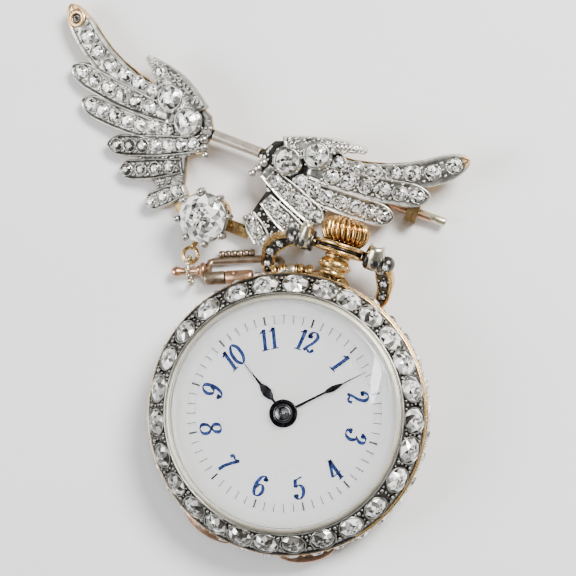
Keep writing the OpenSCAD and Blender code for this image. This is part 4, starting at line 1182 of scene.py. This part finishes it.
def set_stone(metalwork, stones, m, p, z, d, rng, light=1.0, shade=1.0):
    """Stone in a thin collar with four grains of metal pushed over its girdle."""
    up = upright(m)
    at = m @ Vector((p.x, p.y, z))
    collar(metalwork, aim(at, up), d, ((-0.06, -0.1), (0, 0.05), (0.06, 0.03), (0.09, -0.1)), 18)
    gem(stones, at, up, d * rng.uniform(0.95, 1.0), rng, sides=rng.choice((7, 8, 8, 9)), light=light,
        table=rng.uniform(0.4, 0.56), shade=shade)
    turn = rng.uniform(0, tau)
    for k in range(4):
        grain = m @ (Vector((p.x, p.y, z + 0.06)) + around(d / 2 + 0.03, turn + tau * k / 4))
        ball(metalwork, grain, rng.uniform(0.1, 0.14), 0, GRAIN)


def wing(side, name):
    """One wing: web, six feathers with their stones, the covert over their roots and two large stones."""
    rng = random.Random(31 + side)
    left = side < 0
    m = on_wing(side)
    metalwork, stones = Shape(), Shape()
    feathers = [Feather(side, k) for k in range(len(FEATHERS))]
    web = [wing_point(side, x, y) for x, y in WEB]
    plate(metalwork, web, METAL_FOOT, SILVER_T + 0.01, 3, m)
    # Painted shade: the left wing's stones get fewer bright facets than the right's
    light = 0.85 if left else 1.05

    def taken(p, covert_gap, stone_gap):
        return on_covert(side, p, covert_gap) or near_large(side, p, stone_gap)

    for index, feather in enumerate(feathers):
        bare_from = NEVER if index else 0.84 if left else 0.95
        feather_body(metalwork, feather, m, bare_from, SHADED_FEATHERS.get(index, NEVER) if left else NEVER)
        pitch = 0.7 / (feather.count - 1)
        places = []
        for n in range(-1, feather.count):
            t = 0.2 + pitch * n
            p = feather.at(t)
            if t < 0.03 or taken(p, 0.55, 2.05):
                continue
            d = feather.width * (0.56 + 0.03 * sin(radians(n * 137)))
            if index + 1 < len(feathers):
                # The stone moves away from a feather that would cover part of it
                short = d / 2 + 0.1 - feathers[index + 1].room(p)
                p = p + feather.across(t) * max(0, min(0.42, short))
            places.append(t)
            if left and index == 0 and n == feather.count - 1:
                # The stone of the left tip is lost: an empty seat shows, its floor black as painted shade
                seat = aim(m @ (p + rise(feather.top)), upright(m))
                rim = [(0.4, 0.0), (0.5, 0.12), (0.7, 0.14), (0.9, 0.05), (0.95, -0.1)]
                lathe(metalwork, rim, 2, seat, 24)
                lathe(metalwork, [(0.02, 0.05), (0.3, 0.04), (0.45, 0.02), (0.45, -0.1)], 3, seat, 16)
                continue
            # Painted shade: stones on the shaded left feathers get mostly dark facets
            shade = 1
            if left and index in SHADED_FEATHERS:
                shade = 7 if n > feather.count - 4 else 1 if index == 3 else 2.5
            set_stone(metalwork, stones, m, p, feather.top + 0.02, d, rng, light / shade, shade)
        for t in [places[0] - pitch / 2] + [(a + b) / 2 for a, b in zip(places, places[1:])]:
            for u, size in ((-0.5, 0.18), (0.0, 0.12), (0.5, 0.18)):
                p = feather.at(t) + feather.across(t) * feather.half(t) * u
                ball(metalwork, m @ (p + rise(feather.top - 0.02)), size)
    # Pave of uneven stones where the web shows between the feathers
    pitch = 1.32
    spots = []
    for row in range(24):
        for col in range(16):
            p = Vector((col * pitch + (row % 2) * pitch / 2 + rng.uniform(-0.08, 0.08),
                        row * pitch * 0.87 - 1 + rng.uniform(-0.08, 0.08), 0))
            if not inside_polygon(p, web) or any(f.room(p) < 0.45 for f in feathers) or taken(p, 0.5, 1.95):
                continue
            spots.append(p)
            set_stone(metalwork, stones, m, p, SILVER_T + 0.1, rng.uniform(0.95, 1.2), rng, light)
    # Grains fill what is left of the web
    for _ in range(900):
        p = Vector((rng.uniform(2, 12.5), rng.uniform(0, 10.8), 0))
        if not inside_polygon(p, web) or any((p - q).length < 0.66 for q in spots):
            continue
        if any(f.room(p) < -0.05 for f in feathers) or taken(p, 0.0, 1.5):
            continue
        ball(metalwork, m @ (p + rise(SILVER_T + 0.02)), rng.uniform(0.12, 0.19), 0, GRAIN)
    covert(side, m, metalwork, stones, rng)
    for k, (x, y) in enumerate(CURL):
        ball(metalwork, m @ (wing_point(side, x, y) + rise(SILVER_T + 0.05)), 0.45 - 0.04 * k, 0, (10, 16))
    # Painted light and shade: the right wing takes paler silver and the left darker
    metals = [SILVER, GREY_SILVER] if left else [PALE_SILVER, SILVER]
    metalwork.make(name + "_silver", metals + [SEAT_GOLD, BLACK_SILVER], "brooch", [name], "silver")
    stones.make(name + "_gems", DIAMONDS, "brooch", [name + "_stones"], "diamond")
    for k, (x, y) in enumerate(LARGE):
        large_stone("left" if left else "right", k + 1, m, wing_point(side, x, y), rng, 1.7 if left else 1.2)


def covert_line(side, t):
    """Point of the covert's spine."""
    return quad_curve(*[wing_point(side, x, y) for x, y in COVERT[side]], t)


def covert_across(side, t):
    """Direction across the covert."""
    return left_of((covert_line(side, min(1, t + 0.01)) - covert_line(side, max(0, t - 0.01))).normalized())


def covert_half(side, t):
    """Half width of the covert."""
    if side < 0:
        return FEATHER_W * (1 + 0.35 * sin(pi * t)) * (1 - 0.85 * t ** 1.5) / 2
    return FEATHER_W * (1 - 0.85 * t) / 2


def on_covert(side, p, margin):
    """Whether a point lies on the covert or nearer to it than the margin."""
    return any((covert_line(side, t) - p).length < covert_half(side, t) + margin for t in shares(20))


def near_large(side, p, reach):
    """Whether a point lies within reach of a large stone."""
    return any((wing_point(side, x, y) - p).length < reach for x, y in LARGE)


def covert(side, m, metalwork, stones, rng):
    """Strip over the feathers' roots: the right one ends in a row of beads, the left one is broader."""
    rows = []
    for t in shares(24):
        half = covert_half(side, t)
        arch = 0.24 * min(1, half / 0.9)
        section = mirrored([(-1, METAL_FOOT - COVERT_TOP), (-1, -0.25), (-0.9, -0.04), (-0.7, -0.08),
                            (-0.35, arch * 0.3), (0, arch * 0.45)])
        rows.append([covert_line(side, t) + covert_across(side, t) * half * u + rise(COVERT_TOP + z)
                     for u, z in section])
    # Painted shade: the left covert takes its wing's darker silver
    loft(metalwork, rows, 0 if side > 0 else 1, True, m)
    if side > 0:
        for k in range(8):
            at = m @ (covert_line(side, 0.58 + k * 0.056) + rise(COVERT_TOP))
            ball(metalwork, at, 0.4 - 0.025 * k, 0, BIG_BEAD)
    for _ in range(300):
        t, u = rng.uniform(0.02, 1), rng.uniform(-0.9, 0.9)
        p = covert_line(side, t) + covert_across(side, t) * covert_half(side, t) * u
        if not near_large(side, p, 1.4):
            ball(metalwork, m @ (p + rise(COVERT_TOP + 0.02)), rng.uniform(0.12, 0.2), 0, GRAIN)
    for t in (0.14, 0.34, 0.5) if side > 0 else (0.34, 0.52, 0.68):
        p = covert_line(side, t)
        if not near_large(side, p, 1.75):
            set_stone(metalwork, stones, m, p, COVERT_TOP + 0.08, 1.25 if side < 0 else 1.05, rng)


def large_stone(word, number, m, p, rng, light):
    """Large stone on the wing in a beaded collet of its own."""
    s, ring = Shape(), Shape()
    up = upright(m)
    at = m @ (p + rise(LARGE_TOP))
    gem(s, at + up * 0.03, up, 2.18, rng, sides=12, light=light)
    s.make(f"{word}_large_gem_{number}", DIAMONDS, "brooch", [f"{word}_stone_{number}"], "diamond")
    lathe(ring, [(1.02, -0.3), (1.08, 0.06), (1.16, 0.1), (1.25, 0.05), (1.36, -0.16), (1.45, -0.2),
                 (1.45, -1.1), (1.02, -1.1)], 0, aim(at, up), 40)
    for bead in circle(1.36, 12, -0.1):
        ball(ring, at + m.to_3x3() @ bead, 0.16)
    ring.make(f"{word}_large_collet_{number}", [SILVER], "brooch", (), "silver")


COLLET = BROOCH @ Matrix.Translation((-0.1, 0.3, 0))
COLLET_Z, COLLET_R, GIRDLE_Z = 0.35, 2.4, 3.05


def crossbar():
    """Bar with a rounded front; its lower side is yellow."""
    s = Shape()
    length, y, width = 2.43, 0.55 * RISE, 1.04
    section = mirrored([(-0.5, METAL_FOOT), (-0.5, 0.2), (-0.44, 0.36), (-0.3, 0.5), (-0.1, 0.56)])
    rows = [[(x, y + width * across, z) for across, z in section]
            for x in (length, length - 0.05, -length + 0.05, -length)]
    yellow = [1, 1] + [0] * (len(section) - 2)
    loft(s, rows, yellow * (len(rows) - 1) + [0, 0], True, BROOCH)
    s.make("crossbar_front", [BAR_SILVER, PALE_GOLD], "brooch", ["crossbar"], "silver")


def collet():
    """Setting of the centre stone: a tapered cup with eight claws."""
    s = Shape()
    low_r = COLLET_R * 0.72
    foot = [(low_r + out, COLLET_Z + z) for out, z in ((-0.35, 0), (0, 0), (0.06, 0.25), (-0.04, 0.35))]
    seat = [(COLLET_R - step, GIRDLE_Z - z) for step, z in (
        (0.22, 0.75), (0.04, 0.6), (0, 0.4), (0.06, 0.05), (0.2, 0.03))]
    lathe(s, foot + seat + [(low_r - 0.2, COLLET_Z + 0.6)], 0, COLLET, 64)
    # Claws over the stone, and thin wires between them
    for out in circle(1, 8, 0, 0.5):
        path = [COLLET @ (out * (COLLET_R + step) + rise(z)) for step, z in (
            (0.02, 1.85), (0.2, 2.4), (0.19, 3.0), (0.08, 3.3), (-0.12, 3.42))]
        tube(s, path, [0.2, 0.27, 0.29, 0.3, 0.24], 0, 12)
        ball(s, path[3], 0.33, 0, (8, 14))
    for out in circle(1, 16, 0, 0.5):
        wire = [COLLET @ (out * r + rise(z)) for r, z in ((low_r + 0.02, 0.5), (COLLET_R - 0.16, 2.4))]
        tube(s, wire, 0.1, 0, 8)
    s.make("claw_setting", [SILVER], "brooch", ["collet"], "silver")


def centre_stone():
    """Old-cut stone with a small table; its inner rings of facets show the pavilion through the table as
    painted reflections.
    """
    rng = random.Random(7)
    s = Shape()
    r, sides = 2.3, 16
    # Radius, height and turn of each ring of corners, and the weights of the four painted tones inside it
    rings = [(0.13, 0.745, 0, (1.5, 1.5, 2, 1.6)), (0.30, 0.74, 0.5, (2, 2, 2, 1.3)),
             (0.47, 0.735, 0, (2.4, 2.4, 1.8, 0.7)), (0.66, 0.56, 0.5, (3, 2.6, 1.4, 0.3)),
             (0.84, 0.31, 0, (4, 3, 0.9, 0.15)), (1.0, 0.0, 0.5, (4.5, 3, 0.7, 0.1))]
    points = [(0, 0, 0.75)]
    for radius, z, shift, _ in rings:
        for k in range(sides):
            wobble = 1 + rng.uniform(-0.03, 0.03)
            points.append(around(r * radius * wobble, tau * (k + shift) / sides, z))
    points += circle(r * 0.9, sides, -0.35) + [(0, 0, -1.9)]
    faces = [[0, 1 + k, 1 + (k + 1) % sides] for k in range(sides)]
    slots = [tone(rng, rings[0][3]) for _ in faces]
    last = 1
    for (_, _, shift, _), (_, _, next_shift, weights) in zip(rings, rings[1:]):
        start, last = last, last + sides
        for k in range(sides):
            j = (k + 1) % sides
            a, b, c, d = start + k, start + j, last + k, last + j
            faces += [[a, c, b], [b, c, d]] if next_shift > shift else [[a, c, d], [a, d, b]]
            slots += [tone(rng, weights), tone(rng, weights)]
    seat = last + sides
    for k in range(sides):
        j = (k + 1) % sides
        faces += [[last + k, seat + k, seat + j], [last + k, seat + j, last + j],
                  [seat + k, len(points) - 1, seat + j]]
        slots += [CLEAR, MID, DARK]
    s.add(points, faces, slots, False, COLLET @ Matrix.Translation(rise(GIRDLE_Z + 0.02)))
    s.make("centre_gem", DIAMONDS, "brooch", ["solitaire"], "diamond")


def pin_end():
    """Blunt sleeve on the pin's point, as the photograph shows it."""
    s = Shape()
    tip, back = Vector((8.42, 21.574, 1.065)), Vector((-0.9983, 0.0546, 0.0182))
    path = [tip + back * distance for distance in (3.5, 3.4, 0.2, 0.06, 0)]
    tube(s, path, [0.2, 0.34, 0.4, 0.37, 0.27], 0, 18)
    s.make("pin_sleeve", [PALE_GOLD], "pin", (), "pale_gold")


# Assembly

case_back()
case_middle()
side_row()
bezel()
rim_and_glass()
dial()
hands()
pendant()
crown()
bow()
swivel()
swivel_link()
wing(-1, "left_wing")
wing(1, "right_wing")
crossbar()
collet()
centre_stone()
pin_end()

for node, material in (("brooch_frame", GOLD), ("pin_stem", ROSE), ("movement", STEEL)):
    mesh = frame["nodes"][node].data
    mesh.materials.clear()
    mesh.materials.append(material)


# Camera, in millimetres from the dial's centre: place, aim, roll and focal length over the image's width

CAMERA_AT, CAMERA_AIM = Vector((21, 8, 165)), Vector((-3.387, 11.097, 5))
CAMERA_ROLL = radians(17.9)
FOCAL = 1745 / 576
SENSOR = 36


def camera():
    """The photograph's view."""
    forward = (CAMERA_AIM - CAMERA_AT).normalized()
    side = forward.cross(Y).normalized()
    right = side * cos(CAMERA_ROLL) + side.cross(forward) * sin(CAMERA_ROLL)
    data = bpy.data.cameras.new("camera")
    data.sensor_width = SENSOR
    data.lens = SENSOR * FOCAL
    data.clip_start, data.clip_end = 0.01, 5
    view = put("camera", data)
    view.matrix_world = aim(CENTRE + CAMERA_AT * MM, -forward, right)
    bpy.context.scene.camera = view


def area_light(name, place, target, size, power, colour, height):
    """Oval soft light; place and target are in millimetres from the dial's centre."""
    data = bpy.data.lights.new(name, "AREA")
    data.shape = "ELLIPSE"
    data.size, data.size_y = size * MM, height * MM
    data.energy = power
    data.color = colour
    place = Vector(place)
    put(name, data).matrix_world = aim(CENTRE + place * MM, place - Vector(target))


def world():
    """Lighter at the horizon than overhead, so that upright faces catch light and the glass stays clear."""
    n = Nodes("studio", bpy.data.worlds, "Background", Strength=0.8)
    axes = n.add("ShaderNodeSeparateXYZ", Vector=n.place.node.outputs["Generated"])
    n.link(n.ramp(axes.outputs["Z"], (0.1, (0.62, 0.63, 0.65)), (0.85, (0.05, 0.05, 0.055))), "Color")
    bpy.context.scene.world = n.owner


def floor():
    """Sheet of pale grey paper, in metres, just under the part."""
    n = Nodes("paper", Roughness=0.55)
    n.link(n.ramp(n.noise(30, 2), (0.3, (0.80, 0.80, 0.80)), (0.7, (0.84, 0.84, 0.84))), "Base Color")
    half, below = 0.6, 0.00002
    corners = ((-half, -half), (half, -half), (half, half), (-half, half))
    mesh = bpy.data.meshes.new("table_top")
    mesh.from_pydata([(CENTRE.x + x, CENTRE.y + y, -below) for x, y in corners], [], [[0, 1, 2, 3]])
    mesh.materials.append(n.owner)
    put("table_top", mesh)


camera()
area_light("key", (110, 190, 260), (0, 5, 0), 150, 2.6, (1.0, 0.99, 0.97), 120)
area_light("fill", (-250, -110, 220), (0, 0, 0), 200, 1.3, (0.96, 0.98, 1.0), 200)
area_light("glass_glint", (55, 72, 330), (7, 6, 6), 15, 0.2, (1, 1, 1), 90)
world()
floor()
